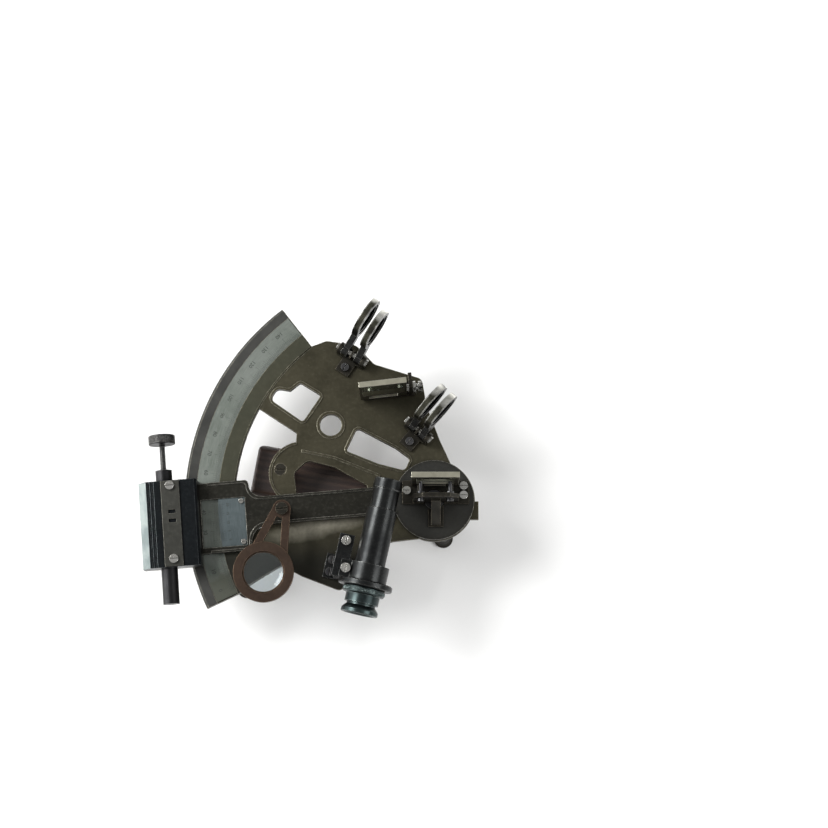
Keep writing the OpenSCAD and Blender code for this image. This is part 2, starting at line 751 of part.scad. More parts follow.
module adjuster(shank_l) {
    cylinder(r = adjuster_r, h = shank_l);
    translate([0, 0, 4.3]) cylinder(r = 2.9, h = 1.6);
    translate([0, 0, shank_l - 2.4]) difference() {
        cylinder(r = 2.6, h = 2.4);
        translate([-3, -0.4, 1.4]) cube([6, 0.8, 2]);
    }
}
module horizon_adjusters() color(nickel) placed() on_horizon() for (z = adjuster_heights)
    translate([horizon_right + 0.05, adjuster_y, z]) rotate([0, 90, 0]) adjuster(10);

// Shades: u runs along the hinge pin, the shades fold out along x
module shade_set(pin_at, fold) placed() translate([pin_at.x, pin_at.y, 0]) rotate(fold) children();

hub_r = 4;
shade_ear_t = 2.2;
module shade_bracket(pitch) difference() {
    ear = pitch / 2 + shade_t / 2 + 0.5;
    union() {
        translate([-shade_mount_back - 4.5, -5, 0.1]) cube([shade_mount_back + 8.5, 10, 2]);
        translate([-hub_r, -ear - shade_ear_t, 0.1]) cube([2 * hub_r, 2 * (ear + shade_ear_t), 2]);
        for (side = [-1, 1]) translate([0, side * (ear + shade_ear_t / 2), 0]) {
            translate([-hub_r, -shade_ear_t / 2, 0.1]) cube([2 * hub_r, shade_ear_t, shade_pin_z - 0.1]);
            translate([0, 0, shade_pin_z]) rotate([90, 0, 0])
                cylinder(r = hub_r, h = shade_ear_t, center = true);
        }
        // Friction leaf between the two shades
        translate([-3.2, -0.6, 0.1]) cube([6.4, 1.2, shade_pin_z + 2.6]);
    }
    translate([0, ear + 5, shade_pin_z]) rotate([90, 0, 0])
        cylinder(r = shade_pin_r + run, h = 2 * ear + 10);
    translate([-shade_mount_back, 0, -1]) cylinder(r = small_shank_r + screw_gap, h = 5);
}

module shade_pin(pitch) {
    end = pitch / 2 + shade_t / 2 + 0.5 + shade_ear_t;
    translate([0, end + 1.2, shade_pin_z]) rotate([90, 0, 0]) cylinder(r = shade_pin_r, h = 2 * end + 2.4);
    for (side = [0, 1]) translate([0, side ? end + 0.1 : -end - 1.7, shade_pin_z])
        rotate([-90, 0, 0]) cylinder(r = shade_pin_r + 1.2, h = 1.6);
}

// A rim with its arm and hub, standing across the pin at height angle tilt
module shade_pose(side, pitch, tilt) translate([0, side * pitch / 2, shade_pin_z])
    rotate([0, -tilt, 0]) rotate([90, 0, 0]) translate([0, 0, -shade_t / 2]) children();

module shade_rim() difference() {
    union() {
        translate([shade_reach, 0, 0]) cylinder(r = shade_r, h = shade_t);
        cylinder(r = hub_r, h = shade_t);
        translate([0, -3.2, 0]) cube([shade_reach - shade_r + 2, 6.4, shade_t]);
    }
    translate([0, 0, -1]) cylinder(r = shade_pin_r + run, h = shade_t + 2);
    translate([shade_reach, 0, -1]) cylinder(r = shade_r - shade_ring - 0.8, h = shade_t + 2);
    translate([shade_reach, 0, 0.8]) cylinder(r = shade_r - shade_ring, h = shade_t + 2);
}

module shade_glass() translate([shade_reach, 0, 0.8]) cylinder(r = shade_r - shade_ring - run, h = 2);

module horizon_set() shade_set(horizon_pin_at, horizon_fold) children();
module index_set() shade_set(index_pin_at, index_fold) children();
module shade_screw() translate([-shade_mount_back, 0, 2.2])
    screw(small_head_r, small_head_h, small_shank_r, 6);
module shade_screws() color(gunmetal) {
    horizon_set() shade_screw();
    index_set() shade_screw();
}
module shade_screw_places() {
    translate(horizon_pin_at) rotate(horizon_fold) translate([-shade_mount_back, 0]) children();
    translate(index_pin_at) rotate(index_fold) translate([-shade_mount_back, 0]) children();
}

module horizon_shade_bracket() color(dark_bronze) horizon_set() shade_bracket(horizon_pitch);
module horizon_shade_pin() color(nickel) horizon_set() shade_pin(horizon_pitch);
module horizon_shade_1() color(nickel) horizon_set()
    shade_pose(1, horizon_pitch, horizon_tilts[0]) shade_rim();
module horizon_shade_glass_1() color(dark_glass) horizon_set()
    shade_pose(1, horizon_pitch, horizon_tilts[0]) shade_glass();
module horizon_shade_2() color(nickel) horizon_set()
    shade_pose(-1, horizon_pitch, horizon_tilts[1]) shade_rim();
module horizon_shade_glass_2() color(dark_glass) horizon_set()
    shade_pose(-1, horizon_pitch, horizon_tilts[1]) shade_glass();
module index_shade_bracket() color(dark_bronze) index_set() shade_bracket(index_pitch);
module index_shade_pin() color(nickel) index_set() shade_pin(index_pitch);
module index_shade_1() color(nickel) index_set()
    shade_pose(1, index_pitch, index_tilts[0]) shade_rim();
module index_shade_glass_1() color(dark_glass) index_set()
    shade_pose(1, index_pitch, index_tilts[0]) shade_glass();
module index_shade_2() color(nickel) index_set()
    shade_pose(-1, index_pitch, index_tilts[1]) shade_rim();
module index_shade_glass_2() color(dark_glass) index_set()
    shade_pose(-1, index_pitch, index_tilts[1]) shade_glass();

// Index arm: x runs out along the arm, y towards the telescope's eye end
function arm_outline(inset) = [
    [5, neck_low + inset, 0], [wide_start + inset, neck_low + inset, 9],
    [wide_start + inset, -wide_w / 2 + inset, 2.5], [box_in, -wide_w / 2 + inset, 0],
    [box_in, wide_w / 2 - inset, 0], [wide_start + inset, wide_w / 2 - inset, 2.5],
    [wide_start + inset, neck_high - inset, 12], [5, neck_high - inset, 0]];

module index_arm() color(dark_bronze) on_arm() difference() {
    union() {
        translate([0, 0, arm_z]) linear_extrude(arm_t) {
            polygon(rounded(arm_outline(0)));
            circle(r = head_r, $fn = 128);
            // Floor of the tangent box
            translate([box_in - eps, box_low]) square([box_l - 0.5 + eps, box_w]);
        }
        // Raised edges of the neck
        translate([0, 0, arm_top - eps]) linear_extrude(arm_edge_h) difference() {
            polygon(rounded(arm_outline(0)));
            polygon(rounded(arm_outline(1.6)));
            circle(r = head_r, $fn = 128);
            translate([box_in - arm_edge_stop, -wide_w]) square([arm_edge_stop + 1, 2 * wide_w]);
        }
    }
    translate([0, 0, arm_z - 1]) cylinder(r = shaft_r + 0.02, h = arm_t + 2);
    // Window over the scale
    intersection() {
        translate([vernier_in, window_low, arm_z - 1])
            cube([window_out - vernier_in, window_w, arm_t + 3]);
        difference() {
            translate([0, 0, arm_z - 1]) cylinder(r = limb_r, h = 8, $fn = 360);
            translate([0, 0, arm_z - 2]) cylinder(r = vernier_out + run, h = 10, $fn = 360);
        }
    }
    // Recess of the vernier plate
    translate([vernier_in - run, window_low - run, arm_top - vernier_t - 0.7])
        cube([window_out - arm_edge_stop - vernier_in, window_w + 2 * run, arm_t + 3]);
    // Slot for the clamp block
    translate([clamp_post_in - 0.8, clamp_low - fine_travel - 0.9, arm_z - 1])
        cube([clamp_post_l + 1.6, clamp_w + 2 * fine_travel + 1.8, arm_t + 2]);
    mirror_screw_places() translate([0, 0, arm_z - 1]) cylinder(r = small_shank_r + screw_gap, h = 5);
    translate([magnifier_at.x, magnifier_at.y, arm_z - 1])
        cylinder(r = magnifier_rivet_r + screw_gap, h = 5);
    vernier_screw_places() translate([0, 0, arm_z - 1]) cylinder(r = 1, h = 5);
}

module vernier_plan() intersection() {
    translate([vernier_in, window_low]) square([vernier_out - vernier_in + 1, window_w]);
    circle(r = vernier_out, $fn = 360);
}
module vernier_plate() color(silvered) on_arm()
    translate([0, 0, arm_top - vernier_t - 0.7]) linear_extrude(vernier_t) difference() {
        vernier_plan();
        vernier_screw_plan() circle(r = 1 + screw_gap);
    }
module vernier_screw_plan() for (y = [window_low + 2.4, window_high - 2.4])
    translate([vernier_in + 2.4, y]) children();
module vernier_screw_places() vernier_screw_plan() children();
module cover_screw_places() for (y = [box_low + 3.5, box_high - 5.2])
    translate([cover_x, y]) children();
module small_screws() color(nickel) on_arm() {
    vernier_screw_places() translate([0, 0, arm_top - 0.7]) screw(1.7, 0.9, 0.95, 2.4);
    cover_screw_places() translate([0, 0, box_top + cover_t]) screw(2.9, 1.6, small_shank_r, 4.2);
}

module pivot_shaft() color(gunmetal) on_arm() {
    translate([0, 0, shaft_end]) cylinder(r = shaft_r, h = arm_top - shaft_end);
    translate([0, 0, arm_top]) cylinder(r = shaft_r + 2.4, h = 1.6);
}
shaft_end = back_z - boss_back - 7.5;
module pivot_nut() color(gunmetal) on_arm() translate([0, 0, back_z - boss_back - 6.4]) difference() {
    union() {
        cylinder(r = 8, h = 4.8);
        translate([0, 0, 4.8]) cylinder(r = 10, h = 1.4);
    }
    translate([0, 0, -1]) cylinder(r = shaft_r + 0.02, h = 10);
    for (a = [0, 90]) rotate(a) translate([-12, -1, -1]) cube([24, 2, 2.6]);
}

// Index mirror: x runs along the mirror, y towards the horizon mirror
module on_index() translate([0, 0, arm_top]) rotate(index_dir - arm_angle) children();
index_left = 0.5 - mirror_frame_w / 2;
index_front = 12.5;
index_base_l = 44;
index_base_w = index_front + 3;
index_base_t = 2;
index_stand_z = mirror_z - arm_top + 3;
module index_mirror_bracket() color(dark_bronze) on_arm() on_index() difference() {
    union() {
        translate([1 - index_base_l / 2, -3, 0]) cube([index_base_l, index_base_w, index_base_t]);
        // Tail of the base under the rib
        translate([-4, -18, 0]) cube([10, 16, index_base_t]);
        // Back upright with bevelled top corners
        translate([-14, 0.5, 0]) rotate([90, 0, 0]) linear_extrude(2.5) polygon([
            [0, 0], [30, 0], [30, 26], [24, 33], [6, 33], [0, 26]]);
        // Rib behind the upright
        translate([-2, 0, 0]) rotate([90, 0, 90]) linear_extrude(6) polygon([
            [-1.9, 4], [-1.9, 25], [-4, 25], [-17, 5], [-17, 1], [-8, 1], [-8, 4]]);
        for (x = [-9, 10]) translate([x, 0, index_stand_z]) rotate([-90, 0, 0])
            cylinder(r = 2.4, h = index_front - mirror_frame_t);
    }
    translate([0, 0, -1]) cylinder(r = shaft_r + 3, h = 4.2);
    for (p = mirror_mounts) translate([p.x, p.y, -1]) cylinder(r = small_shank_r + screw_gap, h = 5);
    for (x = index_adjust_x) translate([x, -4, index_adjust_z]) rotate([-90, 0, 0])
        cylinder(r = adjuster_r + run, h = 8);
}
index_adjust_x = [-9, 10];
index_adjust_z = 24;
mirror_mounts = [[-18, 6], [19.4, 2.9], [19.4, 9.1]];
module mirror_screw_places() rotate(index_dir - arm_angle) for (p = mirror_mounts)
    translate([p.x, p.y]) children();
module mirror_screws() color(nickel) on_arm() mirror_screw_places()
    translate([0, 0, arm_top + index_base_t])
        screw(small_head_r, small_head_h, small_shank_r, index_base_t + 2.4);

module index_mirror_frame() color(bronze) on_arm() on_index()
    translate([2 * index_left + mirror_frame_w, index_front, -arm_top]) rotate(180)
        translate([0, mirror_frame_t, 0]) mirror_frame(index_left, arm_top + index_base_t);

module index_mirror_glass() color(mirror_glass) on_arm() on_index()
    translate([index_left + glass_border, index_front - glass_t, mirror_z - arm_top + glass_border])
        cube([glass_w, glass_t, glass_h]);

module index_adjusters() color(gunmetal) on_arm() on_index() for (x = index_adjust_x)
    translate([x, -2, index_adjust_z]) {
        rotate([90, 0, 0]) screw(2.4, 2, adjuster_r, index_front - mirror_frame_t + 1.9);
        // Lock nut
        translate([0, 2.6, 0]) rotate([-90, 0, 0]) cylinder(r = 2.6, h = 1.6);
    }

// Tangent box
cover_x = box_in + 17.2;
cover_t = 1.2;
module along_arc(y) on_arm() translate([screw_x, y, screw_z]) rotate([-90, 0, 0]) children();

module tangent_box() color(blackened) difference() {
    on_arm() difference() {
        translate([0, box_high, 0]) rotate([90, 0, 0]) linear_extrude(box_w) polygon([
            [box_in, arm_top], [box_out, arm_top], [box_out, box_top - 7], [box_out - 5.5, box_top],
            [box_in + 1.5, box_top], [box_in, box_top - 1.5]]);
        translate([cavity_in, box_low + box_wall + 0.9, arm_top - 1])
            cube([cavity_out - cavity_in, box_w - 2 * box_wall - 1.8, cavity_top - arm_top + 1]);
        // Two grooves beside the bevel
        for (x = [box_out - 8, box_out - 10.5]) translate([x, box_low - 1, box_top - 0.5])
            cube([0.9, box_w + 2, 2]);
        cover_screw_places() translate([0, 0, box_top - 3.2]) cylinder(r = small_shank_r + screw_gap, h = 4);
    }
    along_arc(box_low - 1) cylinder(r = collar_thread_r + run, h = 8);
    along_arc(box_high - 8) cylinder(r = collar_thread_r + run, h = 9);
}
collar_thread_r = 3.8;

module box_cover() color(bronze) on_arm() translate([0, 0, box_top]) linear_extrude(cover_t) difference() {
    translate([cover_x - cover_w / 2, box_low + 0.4]) square([cover_w, box_w - 0.8]);
    cover_screw_places() circle(r = small_shank_r + screw_gap);
    for (y = [-4.7, 1.3]) translate([cover_x - 3, y - 1.2]) square([5, 2.4]);
}

// Threaded collar of the tangent screw
module screw_collar() color(gunmetal) along_arc(0) difference() {
    union() {
        translate([0, 0, box_low - collar_l]) cylinder(r = barrel_r, h = collar_l - 0.02);
        translate([0, 0, box_low - 1]) cylinder(r = collar_thread_r, h = box_wall + 1.9);
    }
    translate([0, 0, box_low - collar_l - 1]) cylinder(r = screw_r + run, h = collar_l + 8);
}

module spring_barrel() color(gunmetal) along_arc(0) difference() {
    union() {
        translate([0, 0, box_high + 0.02]) cylinder(r = barrel_r, h = barrel_l);
        translate([0, 0, box_high - box_wall - 0.9]) cylinder(r = collar_thread_r, h = box_wall + 3);
    }
    translate([0, 0, box_high - box_wall - 2]) cylinder(r = plunger_r + run, h = 8);
    translate([0, 0, box_high + 1]) cylinder(r = plunger_head_r + 0.1, h = barrel_l - 3);
}

screw_tip = clamp_low - tip_gap - pad_l;
// Small domed button between the screw's tip and the clamp block
module thrust_pad() color(nickel) along_arc(0) difference() {
    union() {
        translate([0, 0, screw_tip]) cylinder(r = pad_r, h = pad_l - 0.8);
        intersection() {
            translate([0, 0, screw_tip]) cylinder(r = pad_r, h = pad_l);
            translate([0, 0, clamp_low - tip_gap - 6]) sphere(r = 6);
        }
    }
    translate([0, 0, screw_tip - 1]) cylinder(r = 1.3, h = 2.5);
}

knob_at = box_low - collar_l - stem_l - knob_t;
module tangent_screw() color(gunmetal) along_arc(0) {
    translate([0, 0, knob_at + knob_t - eps]) cylinder(r = screw_r, h = screw_tip - knob_at - knob_t - run);
    translate([0, 0, screw_tip - 0.5]) cylinder(r = 1.3 - run, h = 1.8);
    translate([0, 0, knob_at]) difference() {
        cylinder(r = knob_r, h = knob_t);
        for (i = [0:35]) rotate(i * 10) translate([knob_r + 0.1, 0, 0.8])
            cylinder(r = 0.45, h = knob_t - 1.6, $fn = 16);
        translate([0, 0, -eps]) cylinder(r = knob_r - 2.4, h = 0.8);
    }
}

plunger_tip = clamp_high + tip_gap;
module spring_plunger() color(nickel) along_arc(0) {
    head = box_high + 1 + fine_travel + 0.4;
    intersection() {
        translate([0, 0, plunger_tip]) cylinder(r = plunger_r, h = 6);
        translate([0, 0, plunger_tip + 6]) sphere(r = 6);
    }
    translate([0, 0, plunger_tip + 2]) cylinder(r = plunger_r, h = head - plunger_tip - 2 + eps);
    translate([0, 0, head]) cylinder(r = plunger_head_r, h = plunger_head_t);
}

// Compression spring of the plunger: one tube of eight rings a curl and six sides
spring_curls = 7;
spring_wire = 0.45;
spring_r = 3;
spring_start = box_high + 1 + fine_travel + 0.4 + plunger_head_t + 0.05;
spring_end = box_high + barrel_l - 2.1;
function spring_point(i) =
    let (t = i / (8 * spring_curls))
    [spring_r * cos(45 * i), spring_r * sin(45 * i),
     spring_start + spring_wire + (spring_end - spring_start - 2 * spring_wire) * t];
module tangent_spring() color(nickel) along_arc(0) {
    rings = 8 * spring_curls;
    points = [for (i = [0:rings], k = [0:5])
        let (
            p = spring_point(i),
            ahead = unit(spring_point(i + 0.1) - spring_point(i - 0.1)),
            side = unit([p.x, p.y, 0]),
            up = cross(ahead, side)
        )
        p + spring_wire * (cos(60 * k) * side + sin(60 * k) * up)];
    faces = concat(
        [[0, 1, 2], [0, 2, 3], [0, 3, 4], [0, 4, 5]],
        [for (i = [0:rings - 1], k = [0:5]) each
            let (a = 6 * i + k, b = 6 * i + (k + 1) % 6, c = a + 6, d = b + 6) [[a, c, b], [b, c, d]]],
        [for (k = [1:4]) [6 * rings, 6 * rings + k + 1, 6 * rings + k]]);
    polyhedron(points = points, faces = faces);
}

// Clamp block: a post in the box, and a foot that reaches under the limb
clamp_foot_top = back_z - 1.6;
clamp_foot_t = 3.6;
clamp_screw_x = limb_in + 22;
module clamp_block() color(bronze) on_arm() difference() {
    union() {
        translate([clamp_post_in, clamp_low, clamp_foot_top - clamp_foot_t])
            cube([clamp_post_l, clamp_w, cavity_top - 0.6 - clamp_foot_top + clamp_foot_t]);
        translate([clamp_screw_x - 9, box_offset - 9, clamp_foot_top - clamp_foot_t])
            cube([clamp_post_in + clamp_post_l - clamp_screw_x + 9, 18, clamp_foot_t]);
    }
    translate([clamp_screw_x, box_offset, clamp_foot_top - clamp_foot_t - 1])
        cylinder(r = 2.5 + run, h = clamp_foot_t + 2);
}

module clamp_shoe() color(copper) on_arm() translate([clamp_screw_x, box_offset, clamp_foot_top + 0.1]) {
    translate([-8, -7, 0]) cube([16, 14, 1.4]);
    translate([0, 0, -1.2]) cylinder(r = 1.2, h = 1.3);
}

module clamp_screw() color(gunmetal) on_arm()
    translate([clamp_screw_x, box_offset, 0]) difference() {
        union() {
            translate([0, 0, clamp_foot_top - clamp_foot_t - 4])
                cylinder(r = 2.5, h = clamp_foot_t + 4);
            translate([0, 0, clamp_foot_top - clamp_foot_t - 10]) difference() {
                cylinder(r = clamp_knob_r, h = 6);
                for (i = [0:23]) rotate(i * 15) translate([clamp_knob_r + 0.15, 0, 0.8])
                    cylinder(r = 0.6, h = 4.4, $fn = 16);
            }
        }
        translate([0, 0, clamp_foot_top - 1.3]) cylinder(r = 1.2 + run, h = 3);
    }

// Magnifier: x runs from its pivot to the lens
module at_magnifier() on_arm() translate([magnifier_at.x, magnifier_at.y, magnifier_z])
    rotate(magnifier_dir - arm_angle) children();

magnifier_rivet_r = 2;
magnifier_pin_r = 2.2;
magnifier_post_r = 3.4;
magnifier_arm_t = 3;
module magnifier_post() color(dark_bronze) on_arm() translate([magnifier_at.x, magnifier_at.y, 0]) {
    translate([0, 0, arm_z + 0.2]) cylinder(r = magnifier_rivet_r, h = arm_t + 3);
    translate([0, 0, arm_top]) cylinder(r = magnifier_post_r + 1.6, h = 1.6);
    translate([0, 0, arm_top]) cylinder(r = magnifier_post_r, h = magnifier_post_h - 0.1);
    translate([0, 0, magnifier_z - 1]) cylinder(r = magnifier_pin_r, h = magnifier_arm_t + 2);
    translate([0, 0, magnifier_z + magnifier_arm_t + 0.1]) screw(4, 1.8, magnifier_rivet_r, 1);
}

prong_w = 5;
module magnifier_arm() color(copper) at_magnifier() difference() {
    union() {
        cylinder(r = magnifier_pin_r + 3.6, h = magnifier_arm_t);
        for (side = [-1, 1])
            bar([0, side * 3.2], [magnifier_reach - 14, side * 9.6], prong_w, magnifier_arm_t);
        translate([magnifier_reach, 0, -0.5]) cylinder(r = magnifier_r, h = magnifier_t, $fn = 96);
    }
    translate([0, 0, -1]) cylinder(r = magnifier_pin_r + run, h = magnifier_arm_t + 3);
    translate([magnifier_reach, 0, -2])
        cylinder(r = magnifier_r - magnifier_ring, h = magnifier_t + 4, $fn = 96);
    // Groove that holds the lens
    translate([magnifier_reach, 0, magnifier_t / 2 - 0.5 - 0.9])
        cylinder(r = magnifier_r - magnifier_ring + 0.8, h = 1.8, $fn = 96);
}

module magnifier_lens() color(clear_glass) at_magnifier()
    translate([magnifier_reach, 0, magnifier_t / 2 - 0.5 - 0.85])
        lens(magnifier_r - magnifier_ring + 0.8 - run, 1.7, 1.1);

frame();
arc_scale();
leg_upper();
leg_lower();
leg_pivot();
handle_grip();
handle_posts();
handle_screws();
pivot_bush();
telescope_bracket();
telescope_collar();
collar_screws();
frame_screws();
telescope_tube();
objective_cell();
objective_lens();
horizon_mirror_bracket();
horizon_mirror_frame();
horizon_mirror_glass();
horizon_adjusters();
shade_screws();
eyepiece_tube();
eyecup();
eye_lens();
horizon_shade_bracket();
horizon_shade_pin();
horizon_shade_1();
horizon_shade_glass_1();
horizon_shade_2();
horizon_shade_glass_2();
index_shade_bracket();
index_shade_pin();
index_shade_1();
index_shade_glass_1();
index_shade_2();
index_shade_glass_2();
clamp_block();
clamp_shoe();
clamp_screw();
index_arm();
vernier_plate();
small_screws();
pivot_shaft();
pivot_nut();
index_mirror_bracket();
index_mirror_frame();
index_mirror_glass();
mirror_screws();
index_adjusters();
tangent_box();
box_cover();
screw_collar();
spring_barrel();
magnifier_post();
thrust_pad();
tangent_screw();
spring_plunger();
tangent_spring();
magnifier_arm();
magnifier_lens();
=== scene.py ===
import math

import bpy
from mathutils import Matrix, Vector
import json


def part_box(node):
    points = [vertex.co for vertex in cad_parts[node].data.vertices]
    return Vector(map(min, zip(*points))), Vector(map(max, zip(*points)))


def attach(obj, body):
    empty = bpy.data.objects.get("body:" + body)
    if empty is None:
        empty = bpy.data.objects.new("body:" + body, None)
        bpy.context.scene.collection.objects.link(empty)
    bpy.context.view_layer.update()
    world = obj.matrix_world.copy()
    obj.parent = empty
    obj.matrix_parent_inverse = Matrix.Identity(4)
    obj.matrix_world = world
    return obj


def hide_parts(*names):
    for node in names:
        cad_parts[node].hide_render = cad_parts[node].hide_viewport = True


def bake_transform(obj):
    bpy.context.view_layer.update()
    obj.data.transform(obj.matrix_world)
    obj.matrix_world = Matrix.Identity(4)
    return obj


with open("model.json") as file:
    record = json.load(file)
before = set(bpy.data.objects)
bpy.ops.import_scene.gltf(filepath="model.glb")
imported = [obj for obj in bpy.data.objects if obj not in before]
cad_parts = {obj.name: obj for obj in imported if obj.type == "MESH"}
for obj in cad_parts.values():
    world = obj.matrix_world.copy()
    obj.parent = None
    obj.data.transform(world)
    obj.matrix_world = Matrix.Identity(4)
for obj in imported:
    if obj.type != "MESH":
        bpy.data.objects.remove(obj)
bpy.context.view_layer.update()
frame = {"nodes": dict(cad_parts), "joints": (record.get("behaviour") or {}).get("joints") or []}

# Frame casting: limb, webs and pivot boss in one piece of cast brass, milled flat on the face and
# given a dark olive-brown bronze finish, rubbed bright along its edges. The limb's plain rim
# outside the scale is darker and greyer than the webs.
nodes = frame["nodes"]
joints = {joint["name"]: joint for joint in frame["joints"]}
MM = 0.001
pivot = Vector(joints["index_travel"]["pos_m"])


class Finish:
    """A material being mixed. add() places a node and joins its inputs to values or nodes."""

    def __init__(self, name):
        self.material = bpy.data.materials.new(name)
        self.material.use_nodes = True
        self.tree = self.material.node_tree
        self.shader = self.tree.nodes["Principled BSDF"]

    def feed(self, node, inputs):
        for key, value in inputs.items():
            if isinstance(value, bpy.types.NodeSocket):
                self.tree.links.new(value, node.inputs[key])
            else:
                node.inputs[key].default_value = value

    def add(self, kind, inputs, out=0, **settings):
        node = self.tree.nodes.new("ShaderNode" + kind)
        for key, value in settings.items():
            setattr(node, key, value)
        self.feed(node, inputs)
        return node.outputs[out]

    def shade(self, **inputs):
        self.feed(self.shader, {key.replace("_", " "): value for key, value in inputs.items()})

    def place(self, centre, turn=(0, 0, 0), stretch=(1, 1, 1)):
        """Object coordinates measured from a centre, turned and stretched."""
        here = self.add("TexCoord", {}, "Object")
        moved = self.add("VectorMath", {0: here, 1: centre}, operation="SUBTRACT")
        turned = self.add("Mapping", {"Vector": moved, "Rotation": turn})
        return self.add("VectorMath", {0: turned, 1: stretch}, operation="MULTIPLY")

    def math(self, operation, a, b=0.0):
        return self.add("Math", {0: a, 1: b}, operation=operation)

    def dot(self, a, b):
        return self.add("VectorMath", {0: a, 1: b}, "Value", operation="DOT_PRODUCT")

    def length(self, where):
        return self.add("VectorMath", {0: where}, "Value", operation="LENGTH")

    def radius(self, where):
        """The distance from the upright line through the pattern's centre."""
        return self.length(self.add("VectorMath", {0: where, 1: (1, 1, 0)}, operation="MULTIPLY"))

    def facing(self, way):
        """How squarely the surface faces a direction: 1 is square on."""
        return self.dot(self.add("TexCoord", {}, "Normal"), way)

    def fit(self, value, low, high, to_low=0.0, to_high=1.0):
        """value from low to high becomes to_low to to_high, and goes no further."""
        return self.add("MapRange", {0: value, 1: low, 2: high, 3: to_low, 4: to_high})

    def blotch(self, where, scale, detail, roughness=0.55, distortion=0.0):
        return self.add("TexNoise", {"Vector": where, "Scale": scale, "Detail": detail,
                                     "Roughness": roughness, "Distortion": distortion})

    def tint(self, share, under, over):
        """The colour under, with the colour over laid on it by share."""
        return self.add("Mix", {0: share, 6: under, 7: over}, 2, data_type="RGBA")

    def rubbed(self, width, grain):
        """1 on edges that handling has rubbed, broken up by a grain, and 0 on the faces."""
        soft = self.add("Bevel", {"Radius": width}, samples=6)
        straight = self.add("NewGeometry", {}, "Normal")
        turned = self.fit(self.dot(soft, straight), 0.985, 0.88)
        return self.math("MULTIPLY", turned, self.fit(grain, 0.36, 0.58, 0.25, 1))

    def grime(self, depth, grain):
        """1 in corners and round feet and screw heads, where dirt and lacquer stay and shade
        falls: the darkening it drives is partly dirt, partly painted shade.
        """
        open_sky = self.add("AmbientOcclusion", {"Distance": depth}, "AO", samples=4)
        shut_in = self.fit(open_sky, 0.80, 0.25)
        return self.math("MULTIPLY", shut_in, self.fit(grain, 0.36, 0.6, 0.5, 1))


def tone(red, green, blue):
    """A colour as it is seen on a screen, 0 to 255, as the shader takes it."""
    return tuple((v / 255) ** 2.2 for v in (red, green, blue)) + (1.0,)


def dimmed(colour, share):
    """The same colour, darker or lighter by a share."""
    return tuple(share * v for v in colour[:3]) + (1.0,)


def aged_metal(name, body, dark, bright, rough, patina=42, metal=0.9, edge=0.55 * MM,
               over=None, relief=0.20):
    """Brass or steel with a worn finish: patina clouds, small spots, hairline scratches, rubbed
    edges, and corners darkened partly by dirt and partly as painted shade. edge is how far the
    rubbing reaches in from an edge, and over() lays a further colour on the patina."""
    f = Finish(name)
    here = f.place(pivot)
    cloud = f.blotch(here, patina, 5.0, 0.55, 0.3)
    fine = f.blotch(here, patina * 11, 5.0, 0.60)
    speck = f.blotch(here, patina * 46, 2.0, 0.5)
    thin_and_long = (5200, 150, 150)
    hairs = [f.blotch(f.place(pivot, turn, thin_and_long), 1.0, 1.0, 0.4)
             for turn in ((0.3, 0.2, 0.6), (0.2, 0.9, 2.1))]
    colour = f.tint(f.fit(cloud, 0.34, 0.62, 0.25, 1.0), dark, body)
    colour = f.tint(f.fit(fine, 0.50, 0.80, 0, 0.05), colour, bright)
    colour = f.tint(f.fit(speck, 0.62, 0.75, 0, 0.16), colour, dark)
    for hair in hairs:
        colour = f.tint(f.fit(hair, 0.72, 0.82, 0, 0.10), colour, bright)
    if over:
        colour = over(f, here, colour, cloud, fine)
    worn = f.rubbed(edge, fine)
    # Corners and hollows darkened: partly dirt, partly painted shade.
    colour = f.tint(f.grime(2.2 * MM, fine), colour, dimmed(dark, 0.35))
    colour = f.tint(f.math("MULTIPLY", worn, 0.85), colour, bright)
    shine = f.fit(fine, 0.10, 0.90, rough[0], rough[1])
    shine = f.math("ADD", shine, f.fit(cloud, 0.35, 0.70, 0.08, -0.05))
    shine = f.math("SUBTRACT", shine, f.math("MULTIPLY", worn, 0.10))
    height = f.math("ADD", f.math("MULTIPLY", fine, 0.5), f.math("MULTIPLY", speck, 0.2))
    height = f.math("SUBTRACT", height, f.fit(hairs[0], 0.72, 0.80, 0, 0.2))
    soft_edges = f.add("Bevel", {"Radius": edge * 0.7}, samples=4)
    normal = f.add("Bump", {"Strength": relief, "Distance": 0.10 * MM, "Height": height,
                            "Normal": soft_edges})
    f.shade(Base_Color=colour, Roughness=shine, Normal=normal, Metallic=metal)
    return f.material


def finish_nodes(material, *names):
    """Gives CAD nodes their finish through their own material slots."""
    for name in names:
        slots = nodes[name].data.materials
        slots.clear()
        slots.append(material)


limb_in, scale_in, scale_out = 132 * MM, 142.7 * MM, 157.3 * MM
shade_from, shade_full = -20 * MM, -40 * MM
# Place, turn and reach of the pale streak on the lower web: rub wear and a painted highlight.
sheen_streak_at, sheen_streak_turn = (-75.6 * MM, -17 * MM, 0), (0, 0, math.radians(12.7))
sheen_streak_reach = (28 * MM, 6.2 * MM, 1)


